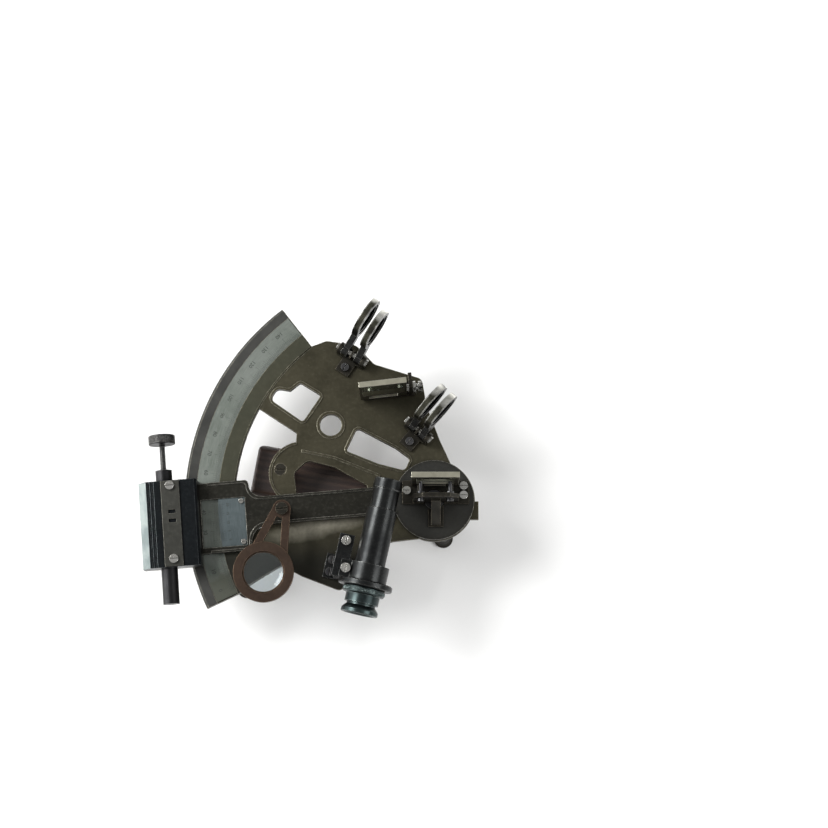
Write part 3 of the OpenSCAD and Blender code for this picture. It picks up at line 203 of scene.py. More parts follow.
def limb_tones(f, here, colour, cloud, fine):
    """Darkens the rim outside the scale and the lower web, and greys the limb's inner band. A pale
    streak on the lower web's upward faces is partly wear where the index arm's underside has
    rubbed and partly a painted highlight."""
    radius = f.radius(here)
    rim = f.fit(radius, scale_out - 0.3 * MM, scale_out)
    band = f.fit(radius, limb_in - 1.5 * MM, limb_in + 1.5 * MM)
    colour = f.tint(f.math("MULTIPLY", band, 0.45), colour, tone(70, 73, 64))
    upward = f.add("SeparateXYZ", {"Vector": here}, 1)
    colour = f.tint(f.fit(upward, shade_from, shade_full, 0, 0.85), colour, tone(42, 42, 39))
    # Pale streak, on upward faces only: rub wear and a painted highlight.
    sheen_streak = f.add("Mapping", {"Vector": here, "Location": sheen_streak_at, "Rotation": sheen_streak_turn,
                               "Scale": sheen_streak_reach}, vector_type="TEXTURE")
    reach = f.math("ADD", f.length(sheen_streak), f.fit(cloud, 0.35, 0.65, 0.2, -0.2))
    pale = f.math("MULTIPLY", f.fit(reach, 1.35, 0.15), f.fit(fine, 0.35, 0.6, 0.7, 0.9))
    pale = f.math("MULTIPLY", pale, f.fit(f.facing((0, 0, 1)), 0.5, 0.9))
    colour = f.tint(pale, colour, tone(150, 146, 132))
    return f.tint(f.math("MULTIPLY", rim, 0.92), colour,
                  f.tint(f.fit(cloud, 0.35, 0.65), tone(58, 58, 57), tone(78, 78, 76)))


bronze = aged_metal("bronze_plate", tone(72, 69, 57), tone(48, 46, 37), tone(166, 161, 143),
                    rough=(0.36, 0.56), edge=0.7 * MM, over=limb_tones)
finish_nodes(bronze, "frame")

# Arc scale: a strip of silver-plated brass laid in the limb's groove, brushed along the arc. Its
# lines are cut by a dividing engine and filled with black, each degree in three parts, and the
# numbers are stamped every ten degrees.
arc_zero, arc_degrees, before_zero = 203.0, 148, 2
# One degree that is read takes half a degree of the circle, clockwise
DEGREE = -0.5
# A direction that no part of a plate lies past
NEVER = 400.0


def heading(f, where):
    """The direction from the pattern's centre, as an angle round z."""
    x = f.add("SeparateXYZ", {"Vector": where}, 0)
    return f.math("ARCTAN2", x.node.outputs[1], x)


def brushed_round(f):
    """Fine marks that run round the pivot: noise read by radius, hardly by direction."""
    here = f.place(pivot)
    along = f.add("CombineXYZ", {0: f.math("MULTIPLY", f.radius(here), 9000.0),
                                 1: f.math("MULTIPLY", heading(f, here), 14.0)})
    return f.blotch(along, 1.0, 4.0, 0.6)


def silver_plate(name, middle, body, dark, light, darkened_from=NEVER):
    """Silvering gone grey-green, with brush marks round the arc, darker stains, and a heavy
    darkening past a direction from the pivot."""
    f = Finish(name)
    here = f.place(middle)
    marks = brushed_round(f)
    cloud = f.blotch(here, 38, 6.0, 0.6, 0.6)
    stain = f.blotch(here, 170, 4.0, 0.6)
    colour = f.tint(f.fit(cloud, 0.38, 0.66), dark, body)
    colour = f.tint(f.fit(marks, 0.35, 0.75, 0, 0.55), colour, light)
    colour = f.tint(f.fit(stain, 0.62, 0.76, 0, 0.45), colour, dark)
    # Heavy darkening past a direction from the pivot, its edge broken by the clouds.
    turn = f.math("ADD", heading(f, f.place(pivot, (0, 0, math.pi))),
                  f.fit(cloud, 0.3, 0.7, -0.04, 0.04))
    start = math.radians(darkened_from - 180)
    colour = f.tint(f.fit(turn, start, start + 0.05, 0, 0.8), colour, tone(70, 71, 62))
    # Corners and hollows darkened: partly dirt, partly painted shade.
    colour = f.tint(f.grime(1.2 * MM, stain), colour, tone(52, 56, 48))
    shine = f.math("ADD", f.fit(marks, 0.3, 0.7, 0.34, 0.50), f.fit(cloud, 0.4, 0.65, 0.10, 0.0))
    relief = f.add("Bump", {"Strength": 0.25, "Distance": 0.05 * MM, "Height": marks})
    f.shade(Base_Color=colour, Roughness=shine, Normal=relief, Metallic=0.75)
    return f.material


silvered_arc = silver_plate("silvered_arc", pivot, tone(112, 117, 111), tone(84, 90, 83),
                            tone(146, 151, 146), darkened_from=197.0)
finish_nodes(silvered_arc, "arc_scale")


def ink():
    """Black wax rubbed into engraving, greyed where it has worn thin."""
    f = Finish("engraving_wax")
    grain = f.blotch(f.place(pivot), 900, 3.0)
    f.shade(Base_Color=f.tint(f.fit(grain, 0.4, 0.7), tone(22, 24, 22), tone(54, 58, 52)),
            Roughness=f.fit(grain, 0.3, 0.7, 0.5, 0.8))
    return f.material


engraving_wax = ink()


def deselect():
    bpy.ops.object.select_all(action="DESELECT")


def select_only(*pieces):
    """Leaves just these pieces selected, the first of them active."""
    deselect()
    for piece in pieces:
        piece.select_set(True)
    bpy.context.view_layer.objects.active = pieces[0]


def placed():
    """The active piece, with its place, turn and size put into its mesh."""
    bpy.ops.object.transform_apply(location=True, rotation=True, scale=True)
    return bpy.context.view_layer.objects.active


def join_pieces(name, pieces):
    """Joins pieces into one mesh with its place applied."""
    select_only(*pieces)
    if len(pieces) > 1:
        bpy.ops.object.join()
    joined = placed()
    joined.name = name
    return joined


def finish_piece(piece, material, body):
    """Gives a new piece its finish and its body."""
    piece.data.materials.clear()
    piece.data.materials.append(material)
    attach(piece, body)


def block(size, at, turn):
    """A small cube at its size and place, the start of a line or a ridge."""
    deselect()
    bpy.ops.mesh.primitive_cube_add(size=1, location=at, rotation=turn, scale=size)
    return placed()


def edit_all(piece):
    """Goes to edit mode with the whole piece selected."""
    select_only(piece)
    bpy.ops.object.mode_set(mode="EDIT")
    bpy.ops.mesh.select_all(action="SELECT")


def spin_copies(piece, centre, axis, angle, copies):
    """Copies a piece's mesh round an axis, evenly, up to the angle of the last copy. With no
    window, spin turns the other way."""
    edit_all(piece)
    bpy.ops.mesh.spin(steps=copies, dupli=True, angle=-angle, center=centre, axis=axis)
    bpy.ops.object.mode_set(mode="OBJECT")
    return piece


line_width, line_height = 0.10 * MM, 0.05 * MM


def on_arc(radius, turn, height):
    """The point at a distance and a direction from the pivot."""
    return pivot + Vector((radius * math.cos(turn), radius * math.sin(turn), height))


def line_row(start_r, length, first, step, count, height):
    """One row of filled lines that point at the pivot; angles in degrees round it."""
    turn = math.radians(first)
    at = on_arc(start_r + length / 2, turn, height)
    line = block((abs(length), line_width, line_height), at, (0, 0, turn))
    return spin_copies(line, pivot, (0, 0, 1), math.radians(step * count), count)


def number(value, radius, direction, size, height):
    """A stamped number with its top towards the pivot, as a flat mesh that stands a hair proud."""
    deselect()
    turn = math.radians(direction)
    bpy.ops.object.text_add(location=on_arc(radius, turn, height),
                            rotation=(0, 0, turn + math.pi / 2))
    label = bpy.context.view_layer.objects.active
    label.data.body = str(value)
    label.data.size = size
    label.data.align_x = "CENTER"
    label.data.align_y = "CENTER"
    label.data.extrude = line_height / 2
    label.data.resolution_u = 3
    bpy.ops.object.convert(target="MESH")
    return placed()


scale_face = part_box("arc_scale")[1].z - pivot.z
line_from, short, more = scale_in + 0.25 * MM, 2.6 * MM, 1.2 * MM
first, marked = arc_zero - before_zero * DEGREE, arc_degrees + before_zero
rows = [
    line_row(line_from, short, first, DEGREE / 3, 3 * marked, scale_face),
    line_row(line_from + short, more, first, DEGREE, marked, scale_face),
    line_row(line_from + short + more, more, arc_zero, 5 * DEGREE, arc_degrees // 5, scale_face),
    line_row(line_from + short + 2 * more, more, arc_zero, 10 * DEGREE, arc_degrees // 10,
             scale_face),
]
finish_piece(join_pieces("arc_lines", rows), engraving_wax, "frame")
number_r, number_size = scale_in + 9.6 * MM, 3.6 * MM
labels = [number(degree, number_r, arc_zero + degree * DEGREE, number_size, scale_face)
          for degree in range(0, arc_degrees + 1, 10)]
finish_piece(join_pieces("arc_numbers", labels), engraving_wax, "frame")

# Legs: three turned brass feet screwed into the back of the frame, lacquered almost black, with
# the lacquer rubbed off their shoulders.
dark_bronze = aged_metal("dark_bronze", tone(54, 52, 47), tone(32, 31, 28), tone(124, 118, 104),
                         rough=(0.34, 0.54))
finish_nodes(dark_bronze, "leg_upper", "leg_lower", "leg_pivot")

# Handle: a hardwood grip, dark reddish brown, oiled and darkened by the hand, on two brass posts
# whose long screws go in from the face of the frame.
finish_nodes(dark_bronze, "handle_posts", "handle_screws")
grip_turn, pith_at = (0, 0, math.radians(10)), (0, 26 * MM, 19 * MM)


def middle_of(node):
    low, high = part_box(node)
    return (low + high) / 2


def oiled_wood():
    """Straight grain along the grip, with pores, darker rings round a pith outside it, and a
    worn oil finish."""
    f = Finish("oiled_wood")
    here = f.place(middle_of("handle_grip"), grip_turn)
    bend = f.blotch(here, 16, 3.0, 0.5)
    pith = f.add("Mapping", {"Vector": here, "Location": pith_at, "Scale": (0.10, 1.0, 1.25)})
    rings = f.add("TexWave", {"Vector": pith, "Scale": 95.0, "Distortion": 3.0, "Detail": 3.0,
                              "Detail Scale": 1.6}, "Fac", wave_type="RINGS", rings_direction="X")
    pores = f.blotch(f.add("Mapping", {"Vector": here, "Scale": (55, 1500, 1500)}), 1.0, 3.0, 0.7)
    handled = f.blotch(here, 26, 4.0, 0.6)
    colour = f.tint(f.fit(rings, 0.15, 0.9), tone(51, 38, 33), tone(68, 53, 45))
    colour = f.tint(f.fit(bend, 0.4, 0.65, 0, 0.45), colour, tone(56, 36, 30))
    colour = f.tint(f.fit(pores, 0.60, 0.70, 0, 0.75), colour, tone(26, 15, 12))
    colour = f.tint(f.fit(handled, 0.55, 0.75, 0, 0.35), colour, tone(88, 66, 54))
    # Corners and hollows darkened: partly dirt, partly painted shade.
    colour = f.tint(f.grime(4 * MM, handled), colour, tone(22, 14, 11))
    colour = f.tint(f.math("MULTIPLY", f.rubbed(1.5 * MM, handled), 0.4), colour,
                    tone(104, 78, 62))
    shine = f.math("ADD", f.fit(handled, 0.35, 0.7, 0.50, 0.34), f.fit(pores, 0.55, 0.7, 0, 0.25))
    height = f.math("SUBTRACT", f.math("MULTIPLY", rings, 0.35), f.fit(pores, 0.58, 0.70, 0, 0.8))
    f.shade(Base_Color=colour, Roughness=shine, Coat_Weight=0.12, Coat_Roughness=0.28,
            Normal=f.add("Bump", {"Strength": 0.35, "Distance": 0.18 * MM, "Height": height}))
    return f.material


finish_nodes(oiled_wood(), "handle_grip")

# Telescope mounting: a bracket sawn from plate and a split collar, blackened, held by two
# cheese-head screws on the frame and two bright ones on the collar.
blackened = aged_metal("blackened_brass", tone(44, 45, 45), tone(25, 26, 27), tone(142, 143, 140),
                       rough=(0.24, 0.34), patina=60, relief=0.07)
finish_nodes(blackened, "telescope_bracket", "telescope_collar")
gunmetal = aged_metal("gunmetal", tone(84, 84, 85), tone(50, 50, 52), tone(164, 162, 158),
                      rough=(0.26, 0.42), patina=95, metal=1.0, edge=0.4 * MM)
nickel = aged_metal("bright_nickel", tone(196, 195, 190), tone(120, 118, 110), tone(238, 237, 232),
                    rough=(0.14, 0.30), patina=110, metal=1.0, edge=0.35 * MM)
finish_nodes(gunmetal, "frame_screws")
finish_nodes(nickel, "collar_screws")

# Telescope: a blackened brass tube with a broad flange, an objective cell pushed into its far end,
#  and a draw tube with a milled band, a stepped eyepiece and an eyecup that slides for focus.
finish_nodes(blackened, "telescope_tube", "objective_cell")
eye_black = aged_metal("eyepiece_black", tone(50, 58, 58), tone(25, 31, 32), tone(132, 144, 141),
                       rough=(0.24, 0.38), patina=70, relief=0.10)
finish_nodes(eye_black, "eyepiece_tube", "eyecup")


def coated_glass(name, colour, film, roughness=0.02, index=1.5):
    """Polished glass with finger marks that dull its gloss in places."""
    f = Finish(name)
    smear = f.blotch(f.place(pivot), 110, 2.0, 0.5, 1.2)
    f.shade(Base_Color=f.tint(f.fit(smear, 0.45, 0.75, 0, 0.35), colour, film),
            Roughness=f.fit(smear, 0.45, 0.75, roughness, roughness + 0.04),
            Transmission_Weight=1.0, IOR=index)
    return f.material


lens_glass = coated_glass("lens_glass", (0.86, 0.94, 0.96, 1), (0.80, 0.88, 0.98, 1))
finish_nodes(lens_glass, "objective_lens", "eye_lens")


def span(node, axis):
    """How far a CAD node reaches along an axis, from its lowest to its highest point."""
    reach = [vertex.co.dot(axis) for vertex in nodes[node].data.vertices]
    return min(reach), max(reach)


def milled_band(name, middle, axis, radius, width, ridges):
    """A milled grip: one ridge with sloped sides, spun into a full ring on a round rim."""
    out = axis.orthogonal().normalized()
    pitch = 2 * math.pi * radius / ridges
    ridge_deep, ridge_wide, sunk = 0.9 * MM, 0.62 * pitch, 0.2 * MM
    turn = Matrix((out, axis.cross(out), axis)).transposed().to_euler()
    ridge = block((ridge_deep, ridge_wide, width), middle + out * (radius - sunk), turn)
    edit_all(ridge)
    bpy.ops.mesh.bevel(offset=0.17 * pitch, segments=1, affect="EDGES")
    bpy.ops.object.mode_set(mode="OBJECT")
    spin_copies(ridge, middle, axis, 2 * math.pi * (ridges - 1) / ridges, ridges - 1)
    ridge.name = name
    return ridge


eye = middle_of("eye_lens")
sight = (middle_of("objective_lens") - eye).normalized()
eye_end = eye + sight * (span("eyepiece_tube", sight)[0] - eye.dot(sight))
milling_at, milling_r, milling_width, ridges = 7.9 * MM, 13.5 * MM, 2.2 * MM, 84
milling = milled_band("focus_milling", eye_end + sight * milling_at, sight, milling_r,
                      milling_width, ridges)
finish_piece(milling, eye_black, "eyepiece")

# Horizon mirror: a dark bronze bracket screwed on from the back of the frame, a bronze frame with
# a glass silvered on the half next to the frame, and two bright adjusting screws with lock rings.
half_way = middle_of("horizon_mirror_glass").z - pivot.z


def worn_top(f, here, colour, cloud, fine):
    """The frame's upward faces are painted pale brass, a painted highlight on its top, broken up
    by the patina clouds.
    """
    share = f.math("MULTIPLY", f.fit(f.facing((0, 0, 1)), 0.8, 0.95),
                   f.fit(cloud, 0.36, 0.56, 0.55, 1))
    return f.tint(share, colour, tone(172, 169, 152))


# Mirror frames with a painted highlight on their upward faces.
horizon_bronze = aged_metal("khaki_bronze", tone(92, 90, 78), tone(58, 56, 47),
                            tone(206, 203, 188), rough=(0.26, 0.44), edge=0.8 * MM, over=worn_top)
finish_nodes(dark_bronze, "horizon_mirror_bracket")
finish_nodes(horizon_bronze, "horizon_mirror_frame", "index_mirror_frame")
finish_nodes(nickel, "horizon_adjusters")


def silvered_glass(name, silver_to):
    """A mirror glass: silvered up to a height, with foxing at its edge, and clear above."""
    f = Finish(name)
    here = f.place(pivot)
    fox = f.blotch(here, 420, 4.0, 0.7, 0.8)
    smear = f.blotch(here, 120, 3.0, 0.6, 1.0)
    height = f.add("SeparateXYZ", {"Vector": here}, 2)
    silvered = f.fit(f.math("ADD", height, f.fit(fox, 0.3, 0.7, -0.3 * MM, 0.3 * MM)),
                     silver_to + 0.1 * MM, silver_to - 0.1 * MM)
    spots = f.fit(fox, 0.66, 0.74, 0, 0.6)
    colour = f.tint(silvered, (0.80, 0.90, 0.90, 1), tone(214, 220, 218))
    colour = f.tint(spots, colour, tone(96, 92, 78))
    f.shade(Base_Color=colour, Metallic=silvered,
            Transmission_Weight=f.math("SUBTRACT", 1.0, silvered),
            Roughness=f.math("ADD", f.fit(smear, 0.4, 0.75, 0.02, 0.10),
                             f.math("MULTIPLY", spots, 0.3)),
            Normal=f.add("Bump", {"Strength": 0.04, "Distance": 0.05 * MM, "Height": smear}))
    return f.material


finish_nodes(silvered_glass("half_silvered_glass", half_way), "horizon_mirror_glass")

# Shades: two pairs of dark glasses in greyed nickel rims that fold on steel pins, each pair in a
# dark bronze bracket that swivels on its own screw. A threaded ring holds each glass in its rim.
finish_nodes(gunmetal, "shade_screws")
finish_nodes(dark_bronze, "horizon_shade_bracket", "index_shade_bracket")
finish_nodes(nickel, "horizon_shade_pin", "index_shade_pin")


def bright_band(rim, glass, hinge, highlight_from):
    """The rim's outer band is greyed nickel with painted highlights along both edges and at the
    tip farthest from the hinge; the last argument is where the tip's highlight starts. Its faces
    and its inside, round the glass, are dark."""
    middle = middle_of(glass)
    tip = (middle - Vector(hinge["pos_m"])).normalized()
    axis = Vector(hinge["axis"]).normalized()
    low, high = span(rim, axis)

    def over(f, here, colour, cloud, fine):
        out = f.add("VectorMath", {0: here, 1: middle - pivot}, operation="SUBTRACT")
        across = f.math("ADD", f.dot(out, axis), middle.dot(axis) - (low + high) / 2)
        # Painted highlights along both edges of the band.
        edge_highlight = f.fit(f.math("ABSOLUTE", across), 0.30 * (high - low), 0.40 * (high - low), 0, 0.7)
        edge_highlight = f.math("MULTIPLY", edge_highlight, f.fit(cloud, 0.42, 0.55))
        out = f.add("VectorMath", {0: out}, operation="NORMALIZE")
        # Painted highlight at the tip farthest from the hinge.
        tip_highlight = f.fit(f.dot(out, tip), highlight_from, highlight_from + 0.12)
        patches = f.fit(cloud, 0.4, 0.6)
        band_and_highlights = f.tint(f.math("MAXIMUM", tip_highlight, edge_highlight),
                           f.tint(patches, tone(56, 55, 50), tone(92, 91, 80)),
                           f.tint(patches, tone(176, 175, 168), tone(226, 225, 218)))
        return f.tint(f.fit(f.facing(out), 0.55, 0.80), colour, band_and_highlights)
    return over


def select_faces(piece, test):
    """Goes to edit mode with only the faces selected that pass a test."""
    if piece.mode == "EDIT":
        bpy.ops.object.mode_set(mode="OBJECT")
    mesh = piece.data
    for part in (mesh.vertices, mesh.edges):
        part.foreach_set("select", [False] * len(part))
    mesh.polygons.foreach_set("select", [test(face) for face in mesh.polygons])
    bpy.context.tool_settings.mesh_select_mode = (False, False, True)
    bpy.ops.object.mode_set(mode="EDIT")


def break_edges(piece, width):
    """Bevels a turned piece's sharp edges by a hair."""
    edges = piece.modifiers.new("broken_edges", "BEVEL")
    edges.width, edges.segments, edges.limit_method = width, 2, "ANGLE"
    bpy.ops.object.modifier_apply(modifier=edges.name)


def axis_turn(axis):
    """The turn that lays a piece's own z along an axis."""
    return axis.to_track_quat("Z", "Y").to_euler()


def turned_ring(name, low_face, axis, outer, inner, height):
    """A flat lathe-turned ring that stands on low_face: a disc, inset, bored through, and its
    edges broken."""
    deselect()
    bpy.ops.mesh.primitive_cylinder_add(vertices=72, radius=outer, depth=height,
                                        location=low_face + axis * height / 2,
                                        rotation=axis_turn(axis))
    ring = bpy.context.view_layer.objects.active
    select_faces(ring, lambda face: len(face.vertices) > 4)
    bpy.ops.mesh.inset(thickness=outer - inner)
    bpy.ops.mesh.bridge_edge_loops()
    bpy.ops.mesh.select_all(action="SELECT")
    bpy.ops.mesh.normals_make_consistent(inside=False)
    bpy.ops.object.mode_set(mode="OBJECT")
    ring = join_pieces(name, [ring])
    break_edges(ring, 0.12 * MM)
    bpy.ops.object.shade_smooth_by_angle(angle=math.radians(35))
    return ring


dark_ring = aged_metal("shade_retainer", tone(58, 58, 57), tone(32, 32, 32), tone(170, 169, 164),
                       rough=(0.24, 0.40), patina=120, metal=1.0, edge=0.3 * MM)
ring_outer, ring_inner, ring_height, ring_gap = 11.7 * MM, 9.9 * MM, 0.9 * MM, 0.02 * MM
# Each row ends with where that rim's painted tip highlight starts.
for shade, colour, highlight_from in (("horizon_shade_%s1", (0.0030, 0.0120, 0.0060, 1), 0.80),
                                 ("horizon_shade_%s2", (0.0180, 0.0030, 0.0020, 1), 0.76),
                                 ("index_shade_%s1", (0.0025, 0.0100, 0.0110, 1), 0.84),
                                 ("index_shade_%s2", (0.0150, 0.0080, 0.0020, 1), 0.78)):
    rim, glass = shade % "", shade % "glass_"
    hinge = joints[rim + "_fold"]
    greyed_nickel = aged_metal(rim + "_rim", tone(62, 62, 61), tone(34, 34, 34),
                               tone(214, 212, 204), rough=(0.20, 0.38), patina=120, metal=1.0,
                               edge=0.5 * MM, over=bright_band(rim, glass, hinge, highlight_from))
    finish_nodes(greyed_nickel, rim)
    dark_glass = coated_glass(glass + "_tint", colour, dimmed(colour, 1.6), roughness=0.05,
                              index=1.22)
    finish_nodes(dark_glass, glass)
    # The ring goes in from the side where the rim stands proud of the glass
    out = Vector(hinge["axis"]).normalized()
    if sum(span(rim, out)) < sum(span(glass, out)):
        out = -out
    middle = middle_of(glass)
    seat = middle + out * (span(glass, out)[1] - middle.dot(out) + ring_gap)
    ring = turned_ring(rim + "_retainer", seat, out, ring_outer, ring_inner, ring_height)
    finish_piece(ring, dark_ring, rim)

# Clamp and pivot: a bronze block that grips the limb from behind, with a copper shoe between it
# and the casting and a milled thumbscrew on the back. The arm's steel shaft turns in a copper
# bush in the boss, and a nut holds it there.
clamp_bronze = aged_metal("clamp_bronze", tone(72, 69, 57), tone(46, 44, 35), tone(140, 134, 112),
                          rough=(0.34, 0.52))
finish_nodes(clamp_bronze, "clamp_block")
copper = aged_metal("copper_brown", tone(73, 61, 53), tone(48, 40, 35), tone(138, 116, 96),
                    rough=(0.30, 0.48), patina=70)
finish_nodes(copper, "clamp_shoe", "pivot_bush")
finish_nodes(gunmetal, "clamp_screw", "pivot_shaft", "pivot_nut")

# Index arm: a long plate of dark bronze with raised edges, a round head on the pivot and a window
# at its wide end. The vernier is a silvered plate screwed in the window, with sixty divisions.
arm_axis = joints["pad_slide"]["axis"]
arm_heading = math.degrees(math.atan2(-arm_axis[0], arm_axis[1]))


def head_tones(f, here, colour, cloud, fine):
    """The arm's round head is handled more than the rest, and is greyer and paler."""
    return f.tint(f.fit(f.length(here), 29 * MM, 24 * MM, 0, 0.55), colour, tone(72, 72, 70))


arm_bronze = aged_metal("arm_bronze", tone(52, 51, 46), tone(31, 31, 28), tone(172, 170, 160),
                        rough=(0.28, 0.48), edge=0.8 * MM, over=head_tones)
finish_nodes(arm_bronze, "index_arm")
vernier_low, vernier_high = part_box("vernier_plate")
silvered_vernier = silver_plate("silvered_vernier", vernier_low, tone(82, 91, 93),
                                tone(58, 66, 68), tone(120, 130, 132))
finish_nodes(silvered_vernier, "vernier_plate")
finish_nodes(nickel, "small_screws")
vernier_face = vernier_high.z - pivot.z
zero_past_arm, gap_to_scale = 6.37, 0.45 * MM
vernier_zero, vernier_out = arm_heading + zero_past_arm, scale_in - gap_to_scale
# Sixty divisions take the room of fifty-nine thirds of a degree, three of them to a minute
division = DEGREE / 3 * 59 / 60
minute, minutes = 3 * division, 20
short, more = 2.0 * MM, 0.9 * MM
rows = [
    line_row(vernier_out, -short, vernier_zero, division, 3 * minutes, vernier_face),
    line_row(vernier_out - short, -more, vernier_zero, minute, minutes, vernier_face),
    line_row(vernier_out - short - more, -more, vernier_zero, 5 * minute, minutes // 5,
             vernier_face),
]
finish_piece(join_pieces("vernier_lines", rows), engraving_wax, "index_arm")
number_r, number_size = vernier_out - 5.9 * MM, 2.4 * MM
labels = [number(mark, number_r, vernier_zero + mark * minute, number_size, vernier_face)
          for mark in range(0, minutes + 1, 5)]
finish_piece(join_pieces("vernier_numbers", labels), engraving_wax, "index_arm")

# Index mirror: an upright of dark bronze on the arm's head, a bronze frame with a glass silvered
# all over, three bright mounting screws and two adjusting screws.
finish_nodes(dark_bronze, "index_mirror_bracket")
past_its_top = 200 * MM
finish_nodes(silvered_glass("mirror_glass", past_its_top), "index_mirror_glass")
finish_nodes(nickel, "mirror_screws")
finish_nodes(gunmetal, "index_adjusters")

# Tangent box: a blackened housing on the end of the arm with a bronze cover strip, a threaded
# collar for the tangent screw and a barrel for the spring that pushes back on the clamp block.
bevel_way = Matrix.Rotation(math.radians(arm_heading), 3, "Z") @ Vector((0.79, 0.0, 0.62))


def bright_bevel(f, here, colour, cloud, fine):
    """The box's outer bevel is bare metal, painted a pale blue-grey that is partly its own colour
    and partly a painted highlight.
    """
    return f.tint(f.fit(f.facing(bevel_way), 0.90, 0.97, 0, 0.92), colour,
                  f.tint(f.fit(cloud, 0.4, 0.62), tone(120, 130, 130), tone(158, 167, 165)))


# Tangent box with its bevel painted pale: bare metal and a painted highlight.
box_black = aged_metal("box_black", tone(34, 37, 39), tone(19, 21, 23), tone(112, 118, 119),
                       rough=(0.26, 0.44), patina=60, over=bright_bevel)
finish_nodes(box_black, "tangent_box")
strip_bronze = aged_metal("strip_bronze", tone(70, 70, 66), tone(44, 44, 41), tone(140, 138, 128),
                          rough=(0.30, 0.50))
finish_nodes(strip_bronze, "box_cover")
head_grey = aged_metal("head_grey", tone(44, 44, 45), tone(26, 26, 27), tone(120, 119, 116),
                       rough=(0.30, 0.46), patina=95)
finish_nodes(head_grey, "screw_collar", "spring_barrel")
finish_nodes(nickel, "thrust_pad", "spring_plunger")

# Tangent screw: a steel screw of 1 mm lead with a broad head, which is milled between two plain
# rims and turned hollow on its face. It bears on the thrust pad through a short pin.
screw_axis = Vector(joints["tangent_screw_turn"]["axis"]).normalized()
screw_middle = Vector(joints["tangent_screw_turn"]["pos_m"])
head_r, head_t, plain_rim, grooves = 8.75 * MM, 6 * MM, 0.9 * MM, 54
stem_r, root_r, lead, overlap = 2 * MM, 1.7 * MM, 1 * MM, 0.1 * MM
shoulder, plain_end, pin_r, pin_length = 1.4 * MM, 0.5 * MM, 1.25 * MM, 1.35 * MM
plain_neck = 1.6 * MM


def wound(sections, radius, wire, sides, steps):
    """A wire wound round z from the origin, in sections of (turns, pitch), closed at both ends."""
    parts, height = [], 0.0
    for turns, pitch in sections:
        deselect()
        bpy.ops.mesh.primitive_circle_add(vertices=sides, radius=wire,
                                          location=(radius, 0, height),
                                          rotation=(math.pi / 2, 0, 0))
        part = placed()
        wind = part.modifiers.new("wind", "SCREW")
        wind.iterations, wind.screw_offset = turns, pitch
        wind.steps = wind.render_steps = steps
        bpy.ops.object.modifier_apply(modifier=wind.name)
        parts.append(part)
        height += turns * pitch
    wire_piece = join_pieces("wound", parts)
    edit_all(wire_piece)
    bpy.ops.mesh.remove_doubles(threshold=0.002 * MM)
    bpy.ops.mesh.fill_holes(sides=0)
    bpy.ops.mesh.select_all(action="SELECT")
    bpy.ops.mesh.normals_make_consistent(inside=False)
    bpy.ops.object.mode_set(mode="OBJECT")
    return wire_piece


def rod(radius, low, high):
    """A round bar on z, with its end edges broken."""
    deselect()
    bpy.ops.mesh.primitive_cylinder_add(vertices=32, radius=radius, depth=high - low,
                                        location=(0, 0, (low + high) / 2))
    bar = bpy.context.view_layer.objects.active
    break_edges(bar, 0.15 * MM)
    return bar


def milled_head(radius, height, rim, grooves):
    """A screw's head on z: a disc with chamfered plain rims, a milled band between them, and a
    hollow turned in the face at z = 0."""
    chamfer, groove_deep = 0.4 * MM, 0.35 * MM
    deselect()
    bpy.ops.mesh.primitive_cylinder_add(vertices=2 * grooves, radius=radius,
                                        depth=height - 2 * rim, location=(0, 0, height / 2))
    head = placed()
    for side in (1, -1):
        select_faces(head, lambda face: face.normal.z * side > 0.9)
        rise = (0, 0, side * (rim - chamfer))
        bpy.ops.mesh.extrude_region_move(TRANSFORM_OT_translate={"value": rise})
        bpy.ops.mesh.inset(thickness=chamfer, depth=chamfer)
    # The last face is the one at z = 0: a flat border, the hollow's wall and floor, a low boss
    for width, step in ((1.7, 0), (0.3, -0.8), (2.6, 0), (0.5, 0.25)):
        bpy.ops.mesh.inset(thickness=width * MM, depth=step * MM)

    def in_groove(face):
        turn = math.atan2(face.center.y, face.center.x) * grooves / math.pi
        on_band = abs(face.normal.z) < 0.1 and rim < face.center.z < height - rim
        outside = face.center.xy.length > radius * 0.95
        return on_band and outside and round(turn - 0.5) % 2 == 0

    select_faces(head, in_groove)
    bpy.ops.mesh.extrude_region_shrink_fatten(TRANSFORM_OT_shrink_fatten={"value": -groove_deep})
    bpy.ops.object.mode_set(mode="OBJECT")
    return head


def lay_on_screw_line(piece, start):
    """Turns a piece built on z along the screw's axis, and moves it to its start on it."""
    piece.location = screw_middle + screw_axis * start
    piece.rotation_euler = axis_turn(screw_axis)
    return join_pieces(piece.name, [piece])


def along_screw(node):
    """How far a node reaches along the screw's axis, measured from the screw's own place."""
    return [reach - screw_middle.dot(screw_axis) for reach in span(node, screw_axis)]


low, high = along_screw("tangent_screw")
length = high - low
stem_end = length - pin_length
turns = int((stem_end - head_t - plain_neck) / lead)
thread = wound([(turns, lead)], root_r, stem_r - root_r, 4, 24)
thread.location = (0, 0, stem_end - plain_end - turns * lead)
parts = [milled_head(head_r, head_t, plain_rim, grooves),
         rod(root_r, head_t - overlap, stem_end), thread,
         rod(stem_r, head_t - overlap, head_t + shoulder),
         rod(pin_r, stem_end - 4 * overlap, length)]
screw = lay_on_screw_line(join_pieces("milled_tangent_screw", parts), low)
bpy.ops.object.shade_smooth_by_angle(angle=math.radians(28))
finish_piece(screw, head_grey, "tangent_screw")
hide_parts("tangent_screw")

# Tangent spring: a steel compression spring wound from round wire, with a closed turn at each end.
# It is shut between the barrel's bottom and the plunger, which it pushes against the clamp block.
wire_r, coil_r, live_turns = 0.45 * MM, 3 * MM, 5
low, high = along_screw("tangent_spring")
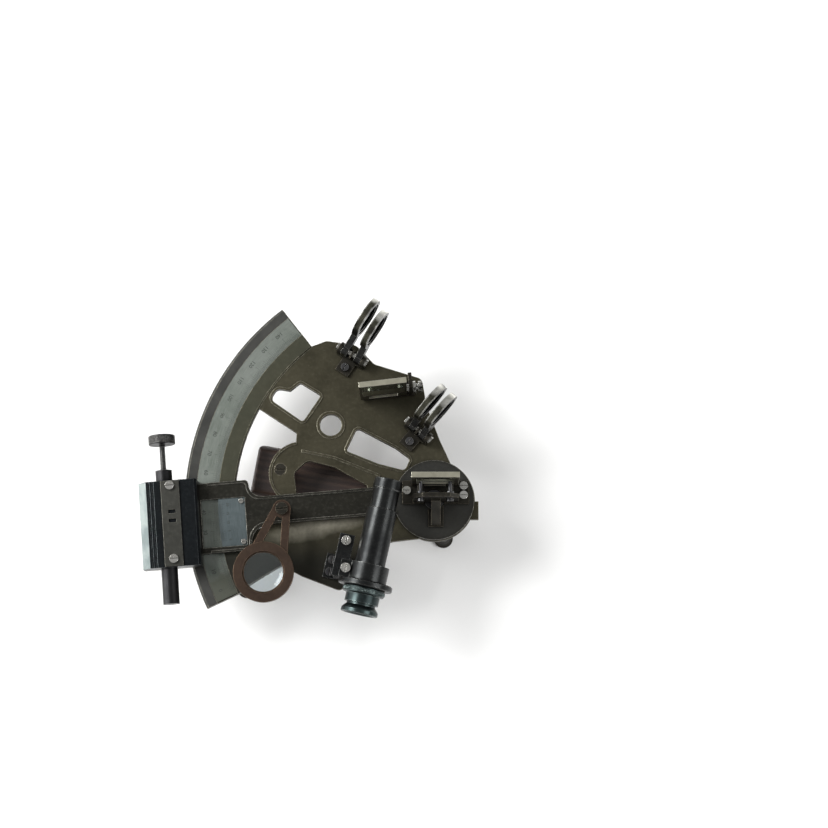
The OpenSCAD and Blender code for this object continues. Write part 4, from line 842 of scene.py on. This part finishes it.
# The wire's own thickness and the two closed turns take six radii of the room
live_pitch = (high - low - 6 * wire_r) / live_turns
closed = (1, 2 * wire_r)
coil = wound([closed, (live_turns, live_pitch), closed], coil_r, wire_r, 12, 40)
coil = lay_on_screw_line(coil, low + wire_r)
coil.name = "wound_spring"
bpy.ops.object.shade_smooth_by_angle(angle=math.radians(40))
coil.data.materials.append(nickel)
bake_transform(coil)
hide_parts("tangent_spring")

# Magnifier: a forked arm and ring in copper-coloured brass that turn on a dark post, with a
# double convex lens that a snap ring holds in the ring's groove.
finish_nodes(dark_bronze, "magnifier_post")
finish_nodes(copper, "magnifier_arm")
finish_nodes(lens_glass, "magnifier_lens")
up, lens_edge = Vector((0, 0, 1)), 0.95 * MM
snap_outer, snap_inner, snap_height = 13.55 * MM, 12.7 * MM, 0.5 * MM
snap_ring = turned_ring("lens_snap_ring", middle_of("magnifier_lens") + up * lens_edge, up,
                        snap_outer, snap_inner, snap_height)
finish_piece(snap_ring, copper, "magnifier")

# Studio: a plain pale floor, a soft white room, a large lamp over the left shoulder with a low one
# beside it, a weaker one on the right, and the camera almost square above the frame's face.
deselect()
bpy.ops.mesh.primitive_plane_add(size=6)
floor = bpy.context.view_layer.objects.active
floor.name = "floor"
pale = Finish("pale_floor")
pale.shade(Base_Color=tone(243, 243, 242), Roughness=0.9)
floor.data.materials.append(pale.material)

room = bpy.data.worlds.new("soft_room")
room.use_nodes = True
glow = room.node_tree.nodes["Background"]
glow.inputs["Color"].default_value = (1.0, 1.0, 1.0, 1)
glow.inputs["Strength"].default_value = 0.45
bpy.context.scene.world = room
aim, camera_distance, elevation = Vector((0.0693, 0.0312, 0.051)), 1.303, math.radians(80)


def soft_lamp(name, at, size, power):
    """A square soft lamp that faces the instrument."""
    bpy.ops.object.light_add(type="AREA", location=at)
    lamp = bpy.context.view_layer.objects.active
    lamp.name = name
    lamp.data.shape = "SQUARE"
    lamp.data.size = size
    lamp.data.energy = power
    lamp.rotation_euler = axis_turn(Vector(at) - aim)


soft_lamp("key_lamp", (-1.3, 0.6, 1.3), 0.9, 46)
soft_lamp("side_lamp", (-1.5, -0.1, 0.45), 0.7, 12)
soft_lamp("fill_lamp", (1.2, -0.5, 1.1), 0.9, 14)

bpy.ops.object.camera_add()
camera = bpy.context.view_layer.objects.active
camera.name = "photo_camera"
camera.data.lens = 85
camera.data.sensor_width = 36
camera.location = aim + camera_distance * Vector((0, -math.cos(elevation), math.sin(elevation)))
camera.rotation_euler = (math.pi / 2 - elevation, 0, 0)
camera.data.clip_start = 0.05
bpy.context.scene.camera = camera
bpy.context.scene.view_settings.view_transform = "Standard"
